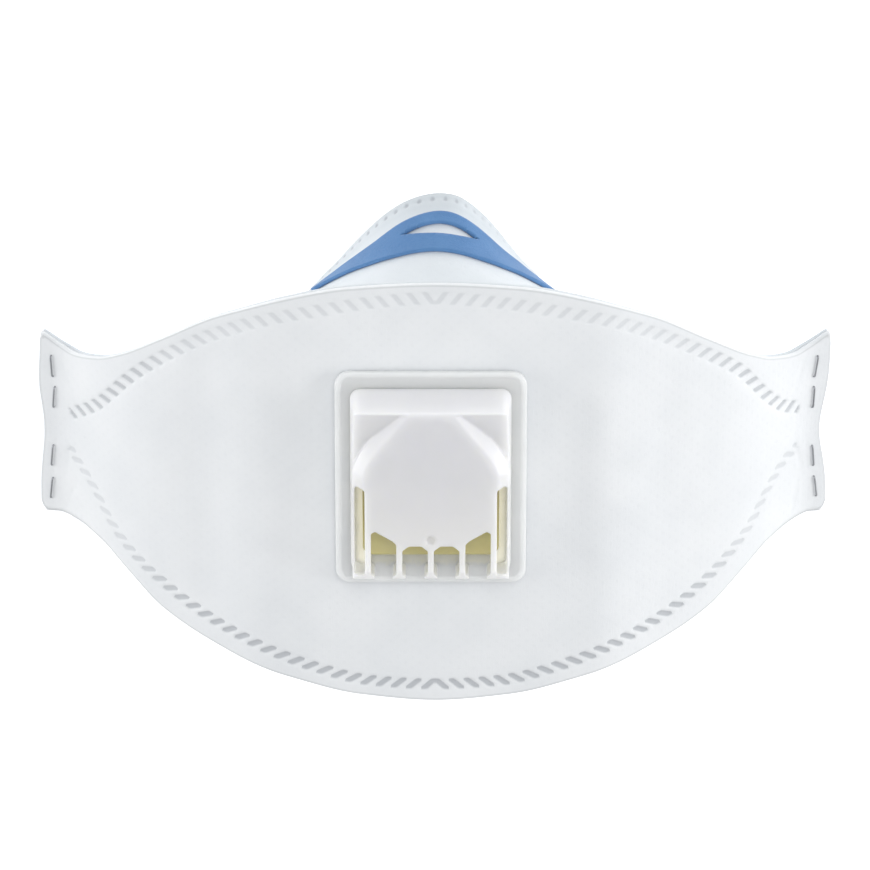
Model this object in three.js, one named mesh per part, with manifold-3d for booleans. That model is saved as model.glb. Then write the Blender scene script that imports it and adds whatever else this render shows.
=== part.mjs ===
// Valved respirator mask of the fold-flat kind, opened and resting on its rim.
//
// Millimetres, +Z up. X runs from ear to ear, +Y towards the nose, and +Z out through the valve.
// Three cloth panels: the center panel curves only across X, and the nose and chin panels are
// welded behind its upper and lower edges and run down to the rim. The finished group is moved so
// that its origin is the middle of the footprint.
import * as THREE from 'three';
import { mergeVertices } from 'three/addons/utils/BufferGeometryUtils.js';
import Module from 'manifold-3d';

const wasm = await Module();
wasm.setup();

// ---- driving dimensions -------------------------------------------------------------------

const WALL = 1.2;                 // thickness of each cloth panel
const GAP = 0.3;                  // gap between neighbouring pieces
const BAND_THICKNESS = 0.9;
const BAND_WIDTH = 14.4;

// Depths below the outside of the center panel: middle of the second layer, top of the bands.
const SECOND_LAYER = WALL + GAP;
const SECOND_MIDDLE = SECOND_LAYER + WALL / 2;
const BAND_LAYER = SECOND_LAYER + WALL + GAP;

// Height of the center panel's outside at each distance from the middle.
const FRONT_PROFILE = [
  { x: 0, z: 43.5 }, { x: 19, z: 43.5 }, { x: 34, z: 42.3 }, { x: 50, z: 35.2 },
  { x: 66, z: 25.6 }, { x: 74, z: 18.5 }, { x: 79.5, z: 12.8 }, { x: 83, z: 9.8 },
  { x: 88, z: 8.2 },
];

// Cut edges of the center panel, seen from the front.
const TOP_EDGE = [
  { x: 0, y: 46.2 }, { x: 18, y: 45.3 }, { x: 33, y: 42.2 }, { x: 46, y: 36.9 },
  { x: 59, y: 28.9 }, { x: 68.5, y: 22.8 }, { x: 74, y: 20.0 }, { x: 79.5, y: 18.8 },
  { x: 83, y: 19.7 }, { x: 88, y: 22.2 },
];
const BOTTOM_EDGE = [
  { x: 0, y: -50.5 }, { x: 16, y: -49.1 }, { x: 30, y: -45.8 }, { x: 45, y: -41.3 },
  { x: 60, y: -34.4 }, { x: 68, y: -27.7 }, { x: 74, y: -22.9 }, { x: 79.5, y: -21.0 },
  { x: 84, y: -20.9 }, { x: 88, y: -21.8 },
];

// Lines where the nose and chin panels are welded to the center panel.
const TOP_WELD = [
  { x: 0, y: 43.2 }, { x: 13, y: 42.2 }, { x: 26, y: 40.0 }, { x: 37, y: 37.3 },
  { x: 47, y: 32.6 }, { x: 56, y: 26.9 }, { x: 64, y: 20.4 }, { x: 69, y: 15.2 },
  { x: 73, y: 10.3 }, { x: 76, y: 7.2 }, { x: 79, y: 4.6 },
];
const BOTTOM_WELD = [
  { x: 0, y: -46.8 }, { x: 14, y: -45.9 }, { x: 26, y: -42.9 }, { x: 38, y: -38.7 },
  { x: 50, y: -34.1 }, { x: 60, y: -28.4 }, { x: 67, y: -23.1 }, { x: 72, y: -17.6 },
  { x: 76, y: -11.8 }, { x: 79, y: -8.4 },
];

// Free edges of the nose and chin panels. The cheeks and the chin touch the surface, the nose is
// lifted, and both edges rise over the headbands near the ears.
const NOSE_RIM = [
  { x: 0, y: 55.5, z: 12.0 }, { x: 5, y: 54.3, z: 11.8 }, { x: 10, y: 50.6, z: 11.0 },
  { x: 14.6, y: 45.4, z: 10.0 }, { x: 19.4, y: 39.2, z: 8.4 }, { x: 24.2, y: 33.2, z: 6.4 },
  { x: 29.0, y: 27.4, z: 4.2 }, { x: 35, y: 22.4, z: 1.8 }, { x: 44, y: 19.4, z: 0.3 },
  { x: 52, y: 18.0, z: 0.1 }, { x: 60, y: 15.8, z: 1.1 }, { x: 68, y: 12.4, z: 2.4 },
  { x: 72, y: 10.0, z: 3.6 }, { x: 75, y: 8.0, z: 5.3 }, { x: 77.8, y: 5.5, z: 7.4 },
];
const CHIN_RIM = [
  { x: 0, y: -52.0, z: 0.1 }, { x: 15, y: -50.5, z: 0.1 }, { x: 28, y: -46.0, z: 0.1 },
  { x: 40, y: -39.5, z: 0.1 }, { x: 52, y: -31.0, z: 0.5 }, { x: 62, y: -23.8, z: 1.5 },
  { x: 68, y: -19.0, z: 2.5 }, { x: 72, y: -15.5, z: 3.7 }, { x: 75, y: -12.6, z: 5.3 },
  { x: 77.8, y: -9.3, z: 7.4 },
];

const EAR_X = 88;                 // outer edge of each ear
const EAR_WAIST = 1.3;            // how far the ear's edge is drawn in at mid height
const WELD_END = 79;              // the welds end here, and the ears begin
const EAR_SPLIT = { nose: 0.0, chin: -0.6 };
const FOLD_RADIUS = 1.6;
const FOLD_OVERLAP = 1.2;         // how far a panel's wall runs into its welded flange

// The nose panel's wall is slightly hollow, and the chin panel's wall is slightly full.
const NOSE_BULGE = -0.8;
const CHIN_BULGE = 2.5;

// Nose clip, on the nose panel: distance along the rim from the strip's own middle, which sits
// CLIP_SHIFT to the right, and the strip's two edges measured up from the rim.
const CLIP_OUTLINE = [
  { along: 0, low: 5.9, high: 17.3 }, { along: 8, low: 6.9, high: 16.8 },
  { along: 16, low: 8.5, high: 15.3 }, { along: 22, low: 8.7, high: 13.6 },
  { along: 28, low: 9.0, high: 12.0 }, { along: 32.5, low: 9.6, high: 11.0 },
  { along: 34.5, low: 10.0, high: 10.6 },
];
const CLIP_THICKNESS = 0.7;
const CLIP_SHIFT = 1.2;
const CLIP_EYE = { halfLength: 8.9, halfHeight: 1.7, middle: 10.7 };

// Exhale valve: its center, and its parts about that center.
const VALVE_X = -0.9;
const VALVE_Y = 2.8;
const FLANGE = { width: 41.0, length: 48.6, corner: 3.2, thickness: 1.4, lip: 1.0, lipHeight: 0.4 };
const NECK = { width: 27, length: 29, corner: 3, wall: 1.5, depth: 2.4 };
const SEAT = { width: 27, length: 28, wall: 1.4, height: 1.2 };
const FLAP = { width: 29, length: 32.4, y: -0.7, thickness: 0.5, arch: 0.8 };
const COVER = { width: 34.4, length: 41.6, height: 8.6, corner: 2.2, wall: 1.2 };
const COVER_SLOPE = { foot: 1.5, side: 1.0, end: 2.4 };
const POCKET = { from: 17.9, depth: 0.8, slope: 14, floor: 5.0 };
const ARCH = { half: 16.8, radius: 17.4, middle: -0.2, turn: 38, chamfer: 2.4, chamferHeight: 2.0 };
const ARCH_END = { foot: 20.4, chamfer: 19.0, face: 18.3 };
const SLOT = { from: 14.1, to: 16.3, top: 1.2 };
const INNER_OPENING = { from: 0.65, to: 6.1, sideTop: -13.4, top: -12.3 };
const OUTER_OPENING = { from: 7.4, to: 12.8, innerTop: -11.3, outerTop: -8.9 };
const RIB_FOOT = { reach: 0.8, length: 1.6 };
const DIMPLE = { radius: 1.15, depth: 0.5, y: -10.9 };
const FLANGE_BOTTOM = 43.5 + GAP;
const FLANGE_TOP = FLANGE_BOTTOM + FLANGE.thickness;

// Headbands: route of each band's middle, from the middle of the mask to the ear.
const UPPER_ROUTE = [
  { x: 0, y: 15.5 }, { x: 30, y: 12.4 }, { x: 45, y: 8.8 }, { x: 60, y: 5.6 },
  { x: 72, y: 4.6 }, { x: 80, y: 8.6 }, { x: 84, y: 10.9 }, { x: 86.5, y: 11.1 },
];
const LOWER_ROUTE = [
  { x: 0, y: -17.5 }, { x: 30, y: -14.4 }, { x: 45, y: -12.2 }, { x: 60, y: -11.2 },
  { x: 72, y: -11.3 }, { x: 80, y: -10.9 }, { x: 84, y: -10.5 }, { x: 86.5, y: -10.5 },
];
const BAND_LANDING = 66;          // distance from the middle where a band leaves the surface
const BAND_EAR = 82;              // distance from the middle where it meets the ear
const BAND_END = 86.5;

// Staples on each ear: the middle of the crown, and its turn about the ear's normal in degrees.
const STAPLES = [
  { side: -1, name: 'upper_1', x: 84.5, y: 14.7, turn: 3 },
  { side: -1, name: 'upper_2', x: 84.2, y: 7.4, turn: -5 },
  { side: -1, name: 'lower_1', x: 85.0, y: -6.6, turn: -6 },
  { side: -1, name: 'lower_2', x: 85.4, y: -14.5, turn: -7 },
  { side: 1, name: 'upper_1', x: 84.0, y: 14.7, turn: -9 },
  { side: 1, name: 'upper_2', x: 83.6, y: 7.5, turn: -3 },
  { side: 1, name: 'lower_1', x: 83.9, y: -6.5, turn: 5 },
  { side: 1, name: 'lower_2', x: 84.7, y: -14.0, turn: 8 },
];
const STAPLE = { crown: 5.3, wire: 0.4, clinch: 2.0 };
const LEG_HOLE = STAPLE.wire + 2 * GAP;
const SLIVER = 0.01;              // corners closer than this are merged after a cut

// ---- curves and grids ---------------------------------------------------------------------

// A smooth curve through a table's rows that never overshoots between two of them.
function tableCurve(rows, from, to) {
  const step = rows.slice(1).map((row, i) => row[from] - rows[i][from]);
  const slope = rows.slice(1).map((row, i) => (row[to] - rows[i][to]) / step[i]);
  const tangent = rows.map((row, i) => {
    if (i === 0) return from === 'x' || from === 'along' ? 0 : slope[0];
    if (i === rows.length - 1) return slope[i - 1];
    if (slope[i - 1] * slope[i] <= 0) return 0;
    const before = 2 * step[i] + step[i - 1];
    const after = step[i] + 2 * step[i - 1];
    return (before + after) / (before / slope[i - 1] + after / slope[i]);
  });
  return (value) => {
    const last = rows.length - 2;
    const found = rows.findIndex((row, i) => i > 0 && value <= row[from]) - 1;
    const i = found < 0 ? (value <= rows[0][from] ? 0 : last) : found;
    const t = (value - rows[i][from]) / step[i];
    const a = 2 * t ** 3 - 3 * t ** 2 + 1;
    const b = (t ** 3 - 2 * t ** 2 + t) * step[i];
    const c = 3 * t ** 2 - 2 * t ** 3;
    const d = (t ** 3 - t ** 2) * step[i];
    return a * rows[i][to] + b * tangent[i] + c * rows[i + 1][to] + d * tangent[i + 1];
  };
}

const profileHeight = tableCurve(FRONT_PROFILE, 'x', 'z');
const topEdge = tableCurve(TOP_EDGE, 'x', 'y');
const bottomEdge = tableCurve(BOTTOM_EDGE, 'x', 'y');

// Unit normal of the center panel's outside at x, pointing out.
function frontNormal(x) {
  const reach = 0.05;
  const distance = Math.abs(x);
  const rise = profileHeight(distance + reach) - profileHeight(Math.max(0, distance - reach));
  const run = distance + reach - Math.max(0, distance - reach);
  const slope = (rise / run) * Math.sign(x);
  return new THREE.Vector3(-slope, 0, 1).normalize();
}

// Point at a depth below the center panel's outside.
function layerPoint(x, y, depth) {
  const outside = new THREE.Vector3(x, y, profileHeight(Math.abs(x)));
  return outside.addScaledVector(frontNormal(x), -depth);
}

// Both halves of a list of distances from the middle, as signed values in order.
function bothSides(distances) {
  const right = distances.filter((value) => value > 0);
  return [...right.map((value) => -value).reverse(), 0, ...right];
}

function range(from, to, count) {
  return Array.from({ length: count + 1 }, (unused, i) => from + ((to - from) * i) / count);
}

// A closed solid between two grids of points with the same rows and columns.
function gridSolid(outer, inner) {
  const columns = outer.length;
  const rows = outer[0].length;
  const points = [...outer.flat(), ...inner.flat()];
  const index = (layer, i, j) => layer * columns * rows + i * rows + j;
  const faces = [];
  const quad = (a, b, c, d) => faces.push(a, b, c, a, c, d);
  for (let i = 0; i < columns - 1; i += 1) {
    for (let j = 0; j < rows - 1; j += 1) {
      quad(index(0, i, j), index(0, i + 1, j), index(0, i + 1, j + 1), index(0, i, j + 1));
      quad(index(1, i, j), index(1, i, j + 1), index(1, i + 1, j + 1), index(1, i + 1, j));
    }
    quad(index(0, i, 0), index(1, i, 0), index(1, i + 1, 0), index(0, i + 1, 0));
    const j = rows - 1;
    quad(index(0, i + 1, j), index(1, i + 1, j), index(1, i, j), index(0, i, j));
  }
  for (let j = 0; j < rows - 1; j += 1) {
    const i = columns - 1;
    quad(index(0, 0, j + 1), index(1, 0, j + 1), index(1, 0, j), index(0, 0, j));
    quad(index(0, i, j), index(1, i, j), index(1, i, j + 1), index(0, i, j + 1));
  }
  return facingOut(points, faces);
}

// A solid from points and triangles, turned so that its faces point out.
function facingOut(points, faces) {
  let volume = 0;
  for (let f = 0; f < faces.length; f += 3) {
    const [a, b, c] = [points[faces[f]], points[faces[f + 1]], points[faces[f + 2]]];
    volume += a.dot(b.clone().cross(c));
  }
  const ordered = volume > 0 ? faces : faces.reverse();
  const geometry = new THREE.BufferGeometry().setFromPoints(points);
  geometry.setIndex(ordered);
  return toSolid(geometry);
}

// ---- joins and cuts -----------------------------------------------------------------------

function toSolid(geometry) {
  const bare = geometry.clone();
  bare.deleteAttribute('normal');
  bare.deleteAttribute('uv');
  const merged = mergeVertices(bare, 1e-5);
  return new wasm.Manifold(new wasm.Mesh({
    numProp: 3,
    vertProperties: new Float32Array(merged.attributes.position.array),
    triVerts: new Uint32Array(merged.index.array),
  }));
}

// Joins and cuts leave slivers: their close corners are merged, and flat triangles dropped.
function toGeometry(solid) {
  const mesh = solid.getMesh();
  const raw = new THREE.BufferGeometry();
  raw.setAttribute('position', new THREE.BufferAttribute(mesh.vertProperties, 3));
  raw.setIndex(new THREE.BufferAttribute(mesh.triVerts, 1));
  const geometry = mergeVertices(raw, SLIVER);
  const corners = geometry.index.array;
  const kept = [];
  for (let f = 0; f < corners.length; f += 3) {
    const [a, b, c] = corners.slice(f, f + 3);
    if (a !== b && b !== c && c !== a) kept.push(a, b, c);
  }
  geometry.setIndex(kept);
  geometry.computeVertexNormals();
  return geometry;
}

// ---- cloth panels -------------------------------------------------------------------------

const FRONT_COLUMNS = bothSides([
  0, 7, 14, 21, 27, 32, 37, 42, 47, 52, 57, 62, 66, 70, 73, 76, 79, 81, 83, 85.5, EAR_X,
]);

// The ear's outer edge is drawn in at mid height, so the last columns follow it.
function waisted(x, y) {
  const reach = THREE.MathUtils.smoothstep(Math.abs(x), WELD_END, EAR_X);
  const waist = EAR_WAIST * reach * Math.exp(-((y / 9) ** 2));
  return x - Math.sign(x) * waist;
}

// One layer of cloth between two edges, from one depth to another.
function layerSolid(lowEdge, highEdge, rows, topDepth, bottomDepth) {
  const grid = (depth) => FRONT_COLUMNS.map((x) => {
    const low = lowEdge(Math.abs(x));
    const high = highEdge(Math.abs(x));
    return range(low, high, rows).map((y) => layerPoint(waisted(x, y), y, depth));
  });
  return gridSolid(grid(topDepth), grid(bottomDepth));
}

function centerPanel() {
  const cloth = layerSolid(bottomEdge, topEdge, 8, 0, WALL);
  const opening = { width: NECK.width + 2 * GAP, length: NECK.length + 2 * GAP, corner: NECK.corner };
  const cut = toSolid(plate(opening, 6)).translate([VALVE_X, VALVE_Y, FLANGE_BOTTOM - 5]);
  return cutForLegs(cloth.subtract(cut), STAPLES);
}

// A curve from the left end of a table's line to its right end.
function wholeCurve(rows) {
  const right = rows.map((row) => new THREE.Vector3(row.x, row.y, row.z ?? 0));
  const left = right.slice(1).map((point) => new THREE.Vector3(-point.x, point.y, point.z));
  return new THREE.CatmullRomCurve3([...left.reverse(), ...right]);
}

// A side panel's wall: its middle surface from inside the flange, round the fold, to the rim.
// u runs from -1 at the left ear to 1 at the right ear, and t from the flange to the rim.
function wallSurface(weldRows, rimRows, bulge) {
  const weld = wholeCurve(weldRows);
  const rim = wholeCurve(rimRows);
  const outward = Math.sign(weldRows[0].y);
  return (u, t) => {
    const along = THREE.MathUtils.clamp((1 + u) / 2, 0, 1);
    const at = weld.getPointAt(along);
    const run = weld.getTangentAt(along);
    const across = new THREE.Vector3(run.y * outward, -run.x * outward, 0);
    const onLayer = (reach) =>
      layerPoint(at.x + across.x * reach, at.y + across.y * reach, SECOND_MIDDLE);
    if (t < WALL_JOIN) return onLayer(-FOLD_OVERLAP * (1 - t / WALL_JOIN));
    const edge = rim.getPointAt(along);
    const seam = onLayer(0);
    const inward = onLayer(0.5).sub(seam).normalize();
    const drop = edge.clone().sub(seam);
    const length = drop.length();
    drop.normalize();
    const radius = Math.min(FOLD_RADIUS, 0.3 * length);
    const corner = seam.clone().addScaledVector(inward, radius);
    const below = corner.clone().addScaledVector(drop, radius);
    if (t < WALL_FOLD) {
      const turn = (t - WALL_JOIN) / (WALL_FOLD - WALL_JOIN);
      return new THREE.QuadraticBezierCurve3(seam, corner, below).getPoint(turn);
    }
    const fall = (t - WALL_FOLD) / (1 - WALL_FOLD);
    const wave = bulge * Math.sin(Math.PI * fall);
    const out = new THREE.Vector3(-across.x, -across.y, 0);
    out.addScaledVector(drop, -out.dot(drop)).normalize();
    return below.lerp(edge, fall).addScaledVector(out, wave * Math.min(1, length / 30));
  };
}

const WALL_JOIN = 0.08;
const WALL_FOLD = 0.3;
const WALL_STEPS = [0, 0.08, 0.15, 0.2, 0.25, 0.3, 0.4, 0.52, 0.64, 0.76, 0.88, 1];
const WALL_COLUMNS = bothSides(range(0, 0.985, 20));

// The wall as a solid: its middle surface moved by half a wall each way along its normal.
function wallSolid(surface) {
  const middle = WALL_COLUMNS.map((u) => WALL_STEPS.map((t) => surface(u, t)));
  const last = { i: middle.length - 1, j: WALL_STEPS.length - 1 };
  const moved = (sign) => middle.map((column, i) => column.map((point, j) => {
    const [left, right] = [middle[Math.max(0, i - 1)][j], middle[Math.min(last.i, i + 1)][j]];
    const [up, down] = [column[Math.max(0, j - 1)], column[Math.min(last.j, j + 1)]];
    const normal = right.clone().sub(left).cross(down.clone().sub(up)).normalize();
    const half = j < 2 ? WALL * (0.2 + 0.12 * j) : WALL / 2;
    return point.clone().addScaledVector(normal, sign * half);
  }));
  return gridSolid(moved(1), moved(-1));
}

// The ear layer's free edge: it follows the weld, then crosses to the middle of the ear.
function innerEdge(weldRows, split) {
  const sign = Math.sign(weldRows[0].y);
  const rows = weldRows.map((row) => ({ x: row.x, y: row.y - sign * 0.3 }));
  return tableCurve([...rows, { x: 82.5, y: split }, { x: EAR_X, y: split }], 'x', 'y');
}

function nosePanel() {
  const flange = layerSolid(
    innerEdge(TOP_WELD, EAR_SPLIT.nose), topEdge, 2, SECOND_LAYER, SECOND_LAYER + WALL);
  const panel = flange.add(wallSolid(noseSurface));
  return cutForLegs(panel, STAPLES.filter((staple) => staple.y > 0));
}

function chinPanel() {
  const flange = layerSolid(
    bottomEdge, innerEdge(BOTTOM_WELD, EAR_SPLIT.chin), 2, SECOND_LAYER, SECOND_LAYER + WALL);
  const panel = flange.add(wallSolid(chinSurface));
  return cutForLegs(panel, STAPLES.filter((staple) => staple.y < 0));
}

const noseSurface = wallSurface(TOP_WELD, NOSE_RIM, NOSE_BULGE);
const chinSurface = wallSurface(BOTTOM_WELD, CHIN_RIM, CHIN_BULGE);

// ---- nose clip ----------------------------------------------------------------------------

// A point at a height off the nose panel's outside, given its distance along the rim from the
// middle and its distance up from the rim.
function onNose(along, up, height) {
  const half = rimLength(NOSE_RIM);
  const u = along / half;
  const wall = noseSurface(u, 1).distanceTo(noseSurface(u, WALL_FOLD));
  const t = 1 - (up / wall) * (1 - WALL_FOLD);
  const [du, dt] = [0.01, 0.02];
  const across = noseSurface(u + du, t).sub(noseSurface(u - du, t));
  const down = noseSurface(u, Math.min(1, t + dt)).sub(noseSurface(u, t - dt));
  const normal = across.cross(down).normalize();
  if (normal.y < 0) normal.negate();
  return noseSurface(u, t).addScaledVector(normal, WALL / 2 + height);
}

function rimLength(rows) {
  return wholeCurve(rows).getLength() / 2;
}

function noseClip() {
  const low = tableCurve(CLIP_OUTLINE, 'along', 'low');
  const high = tableCurve(CLIP_OUTLINE, 'along', 'high');
  const end = CLIP_OUTLINE.at(-1).along;
  const columns = bothSides([0, 3, 6, 9, 12, 15, 18, 21, 24, 27, 30, 33, end]);
  const grid = (height) => columns.map((along) => {
    const reach = Math.abs(along);
    return range(low(reach), high(reach), 5).map((up) => onNose(along + CLIP_SHIFT, up, height));
  });
  const strip = gridSolid(grid(GAP + CLIP_THICKNESS), grid(GAP));
  return strip.subtract(clipEye());
}

// The lens-shaped hole, as a prism across the strip.
function clipEye() {
  const { halfLength, halfHeight, middle } = CLIP_EYE;
  const columns = range(-halfLength, halfLength, 10);
  const edge = (along) => halfHeight * (1 - (along / halfLength) ** 2) + 0.05;
  const grid = (height) => columns.map((along) =>
    range(middle - edge(along), middle + edge(along), 2)
      .map((up) => onNose(along + CLIP_SHIFT, up, height)));
  return gridSolid(grid(GAP + CLIP_THICKNESS + 1), grid(-0.2));
}

// ---- exhale valve -------------------------------------------------------------------------

function roundedOutline({ width, length, corner }) {
  const shape = new THREE.Shape();
  const [x, y] = [width / 2, length / 2];
  shape.moveTo(-x + corner, -y);
  shape.lineTo(x - corner, -y);
  shape.absarc(x - corner, -y + corner, corner, -Math.PI / 2, 0);
  shape.lineTo(x, y - corner);
  shape.absarc(x - corner, y - corner, corner, 0, Math.PI / 2);
  shape.lineTo(-x + corner, y);
  shape.absarc(-x + corner, y - corner, corner, Math.PI / 2, Math.PI);
  shape.lineTo(-x, -y + corner);
  shape.absarc(-x + corner, -y + corner, corner, Math.PI, 1.5 * Math.PI);
  return shape;
}

function plate(size, depth) {
  const shape = roundedOutline(size);
  return new THREE.ExtrudeGeometry(shape, { depth, bevelEnabled: false, curveSegments: 4 });
}

function inset(size, by) {
  const corner = Math.max(0.3, size.corner - by);
  return { width: size.width - 2 * by, length: size.length - 2 * by, corner };
}

// A ring standing up by depth from z = 0.
function ring(size, wall, depth) {
  const hole = toSolid(plate(inset(size, wall), depth + 2)).translate([0, 0, -1]);
  return toSolid(plate(size, depth)).subtract(hole);
}

function valveBase() {
  const seat = { width: SEAT.width, length: SEAT.length, corner: 2 };
  const bore = toSolid(plate(inset(NECK, NECK.wall), 20)).translate([0, 0, -10]);
  const bar = (width, length) => {
    const box = new THREE.BoxGeometry(width, length, 1.2);
    return toSolid(box).translate([0, 0, -NECK.depth + 0.6]);
  };
  return toSolid(plate(FLANGE, FLANGE.thickness))
    .add(ring(FLANGE, FLANGE.lip, FLANGE.thickness + FLANGE.lipHeight))
    .add(toSolid(plate(NECK, NECK.depth + 0.5)).translate([0, 0, -NECK.depth]))
    .subtract(bore)
    .add(bar(1.2, NECK.length - 1))
    .add(bar(NECK.width - 1, 1.2))
    .add(ring(seat, SEAT.wall, SEAT.height + 0.5).translate([0, 0, FLANGE.thickness - 0.5]))
    .translate([VALVE_X, VALVE_Y, FLANGE_BOTTOM]);
}

// The flap lies on the seat, arched a little along its length.
function valveFlap() {
  const bottom = FLANGE_TOP + SEAT.height + GAP;
  const grid = (height) => range(-FLAP.width / 2, FLAP.width / 2, 4).map((x) =>
    range(-FLAP.length / 2, FLAP.length / 2, 10).map((y) => {
      const arch = FLAP.arch * Math.cos((Math.PI * y) / FLAP.length);
      return new THREE.Vector3(x + VALVE_X, y + FLAP.y + VALVE_Y, bottom + arch + height);
    }));
  return gridSolid(grid(FLAP.thickness), grid(0));
}

// The raised front of the cover: straight sides, round shoulders, and a straight upper end.
function archOutline(by, end) {
  const half = ARCH.half - by;
  const radius = ARCH.radius - by;
  const from = Math.acos(half / radius);
  const to = THREE.MathUtils.degToRad(ARCH.turn);
  const rise = end - (ARCH.middle + radius * Math.sin(to));
  const endHalf = radius * Math.cos(to) - rise * Math.tan(to);
  const low = -COVER.length / 2 + 0.2 + by;
  const shape = new THREE.Shape();
  shape.moveTo(-half, low);
  shape.lineTo(half, low);
  shape.absarc(0, ARCH.middle, radius, from, to);
  shape.lineTo(endHalf, end);
  shape.lineTo(-endHalf, end);
  shape.absarc(0, ARCH.middle, radius, Math.PI - to, Math.PI - from);
  return shape;
}

// A solid through outlines with the same number of points, each at its own height.
function loftedSolid(levels) {
  const rings = levels.map(({ shape, z }) =>
    shape.getPoints(8).map((p) => new THREE.Vector3(p.x, p.y, z)));
  const count = rings[0].length;
  const flat = rings[0].map((p) => new THREE.Vector2(p.x, p.y));
  const last = (rings.length - 1) * count;
  const faces = THREE.ShapeUtils.triangulateShape(flat, [])
    .flatMap(([a, b, c]) => [a, c, b, a + last, b + last, c + last]);
  for (let level = 0; level < last; level += count) {
    for (let i = 0; i < count; i += 1) {
      const [a, b] = [level + i, level + ((i + 1) % count)];
      faces.push(a, b, b + count, a, b + count, a + count);
    }
  }
  return facingOut(rings.flat(), faces);
}

// The outline of the cover's top, which slopes in from its foot, mostly at the upper end.
function topOutline(by) {
  const { side, end } = COVER_SLOPE;
  const size = inset(COVER, by + side);
  const shape = roundedOutline({ ...size, length: size.length - (end - side) });
  const points = shape.getPoints(8).map((p) => new THREE.Vector2(p.x, p.y - (end - side) / 2));
  return new THREE.Shape(points);
}

// Takes the body down to a floor that falls away behind the ridge at its upper end. The space
// inside has no ridge.
function pocketCut(by) {
  const fall = Math.tan(THREE.MathUtils.degToRad(POCKET.slope));
  const far = COVER.length;
  const start = by > 0 ? far : POCKET.from;
  const high = COVER.height - POCKET.depth - by;
  const floor = POCKET.floor - by;
  const shape = new THREE.Shape([
    [start, high + (start - POCKET.from) * fall], [POCKET.from - (high - floor) / fall, floor],
    [-far, floor], [-far, far], [start, far],
  ].map(([y, z]) => new THREE.Vector2(y, z)));
  const prism = new THREE.ExtrudeGeometry(shape, { depth: 2 * far, bevelEnabled: false });
  prism.translate(0, 0, -far);
  const axes = [[0, 1, 0], [0, 0, 1], [1, 0, 0]].map((axis) => new THREE.Vector3(...axis));
  prism.applyMatrix4(new THREE.Matrix4().makeBasis(...axes));
  return toSolid(prism);
}

// The cover's outside, or with an inset the space inside it.
function coverBody(by) {
  const foot = new THREE.Shape(roundedOutline(inset(COVER, by)).getPoints(8));
  const height = COVER.height - by;
  const body = loftedSolid([
    { shape: foot, z: 0 },
    { shape: foot, z: COVER_SLOPE.foot - by / 2 },
    { shape: topOutline(by), z: height },
  ]);
  const front = loftedSolid([
    { shape: archOutline(by, ARCH_END.foot - by), z: 0 },
    { shape: archOutline(by, ARCH_END.chamfer - by), z: height - ARCH.chamferHeight },
    { shape: archOutline(by + ARCH.chamfer, ARCH_END.face - by), z: height },
  ]);
  return body.subtract(pocketCut(by)).add(front);
}

// A cut through the cover's front and bottom edge, from an outline.
function openingCut(points) {
  const shape = new THREE.Shape(points.map(([x, y]) => new THREE.Vector2(x, y)));
  const prism = new THREE.ExtrudeGeometry(shape, { depth: 20, bevelEnabled: false });
  return toSolid(prism).translate([0, 0, -1]);
}

// Two side slots and four openings that run out through the bottom edge. The openings narrow at
// the bottom, so that each rib has a small foot.
function coverOpenings(side) {
  const end = -COVER.length / 2 - 1;
  const foot = -COVER.length / 2 + RIB_FOOT.length;
  const opening = ({ from, to }, top) => openingCut([
    [side * (from + RIB_FOOT.reach), end], [side * (from + RIB_FOOT.reach), foot - 0.9],
    [side * from, foot], ...top, [side * to, foot], [side * (to - RIB_FOOT.reach), foot - 0.9],
    [side * (to - RIB_FOOT.reach), end],
  ]);
  const inner = INNER_OPENING;
  const outer = OUTER_OPENING;
  const quarter = (inner.to - inner.from) / 4;
  return [
    opening(inner, [
      [side * inner.from, inner.sideTop], [side * (inner.from + quarter), inner.top],
      [side * (inner.to - quarter), inner.top], [side * inner.to, inner.sideTop],
    ]),
    opening(outer, [
      [side * outer.from, outer.innerTop - 0.6], [side * (outer.from + 0.8), outer.innerTop + 0.2],
      [side * (outer.to - 0.9), outer.outerTop], [side * outer.to, outer.outerTop - 0.4],
    ]),
    openingCut([
      [side * SLOT.from, foot], [side * SLOT.to, foot], [side * SLOT.to, SLOT.top - 0.6],
      [side * (SLOT.to - 0.6), SLOT.top], [side * SLOT.from, SLOT.top - 0.6],
    ]),
  ];
}

function valveCover() {
  const inside = coverBody(COVER.wall).translate([0, 0, -0.01]);
  const dimple = new THREE.CylinderGeometry(DIMPLE.radius, DIMPLE.radius, 2 * DIMPLE.depth, 20);
  dimple.rotateX(Math.PI / 2);
  dimple.translate(0, DIMPLE.y, COVER.height);
  let cover = coverBody(0).subtract(inside).subtract(toSolid(dimple));
  for (const side of [-1, 1]) {
    for (const cut of coverOpenings(side)) cover = cover.subtract(cut);
  }
  return cover.translate([VALVE_X, VALVE_Y, FLANGE_TOP + GAP]);
}

// ---- headbands ----------------------------------------------------------------------------

// A band lies on the surface, climbs near the ear, and then follows the ear's inside.
function bandPoint(x, y, up) {
  const distance = Math.abs(x);
  if (distance >= BAND_EAR) return layerPoint(x, y, BAND_LAYER + BAND_THICKNESS - up);
  const foot = layerPoint(BAND_EAR, 0, BAND_LAYER + BAND_THICKNESS);
  const place = (distance / BAND_EAR) * foot.x;
  const climb = Math.max(0, (place - BAND_LANDING) / (foot.x - BAND_LANDING));
  const tilt = frontNormal(x).x * THREE.MathUtils.smoothstep(climb, 0.6, 1);
  const height = foot.z * climb ** 2;
  return new THREE.Vector3(Math.sign(x) * place + tilt * up, y, height + up);
}

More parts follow.
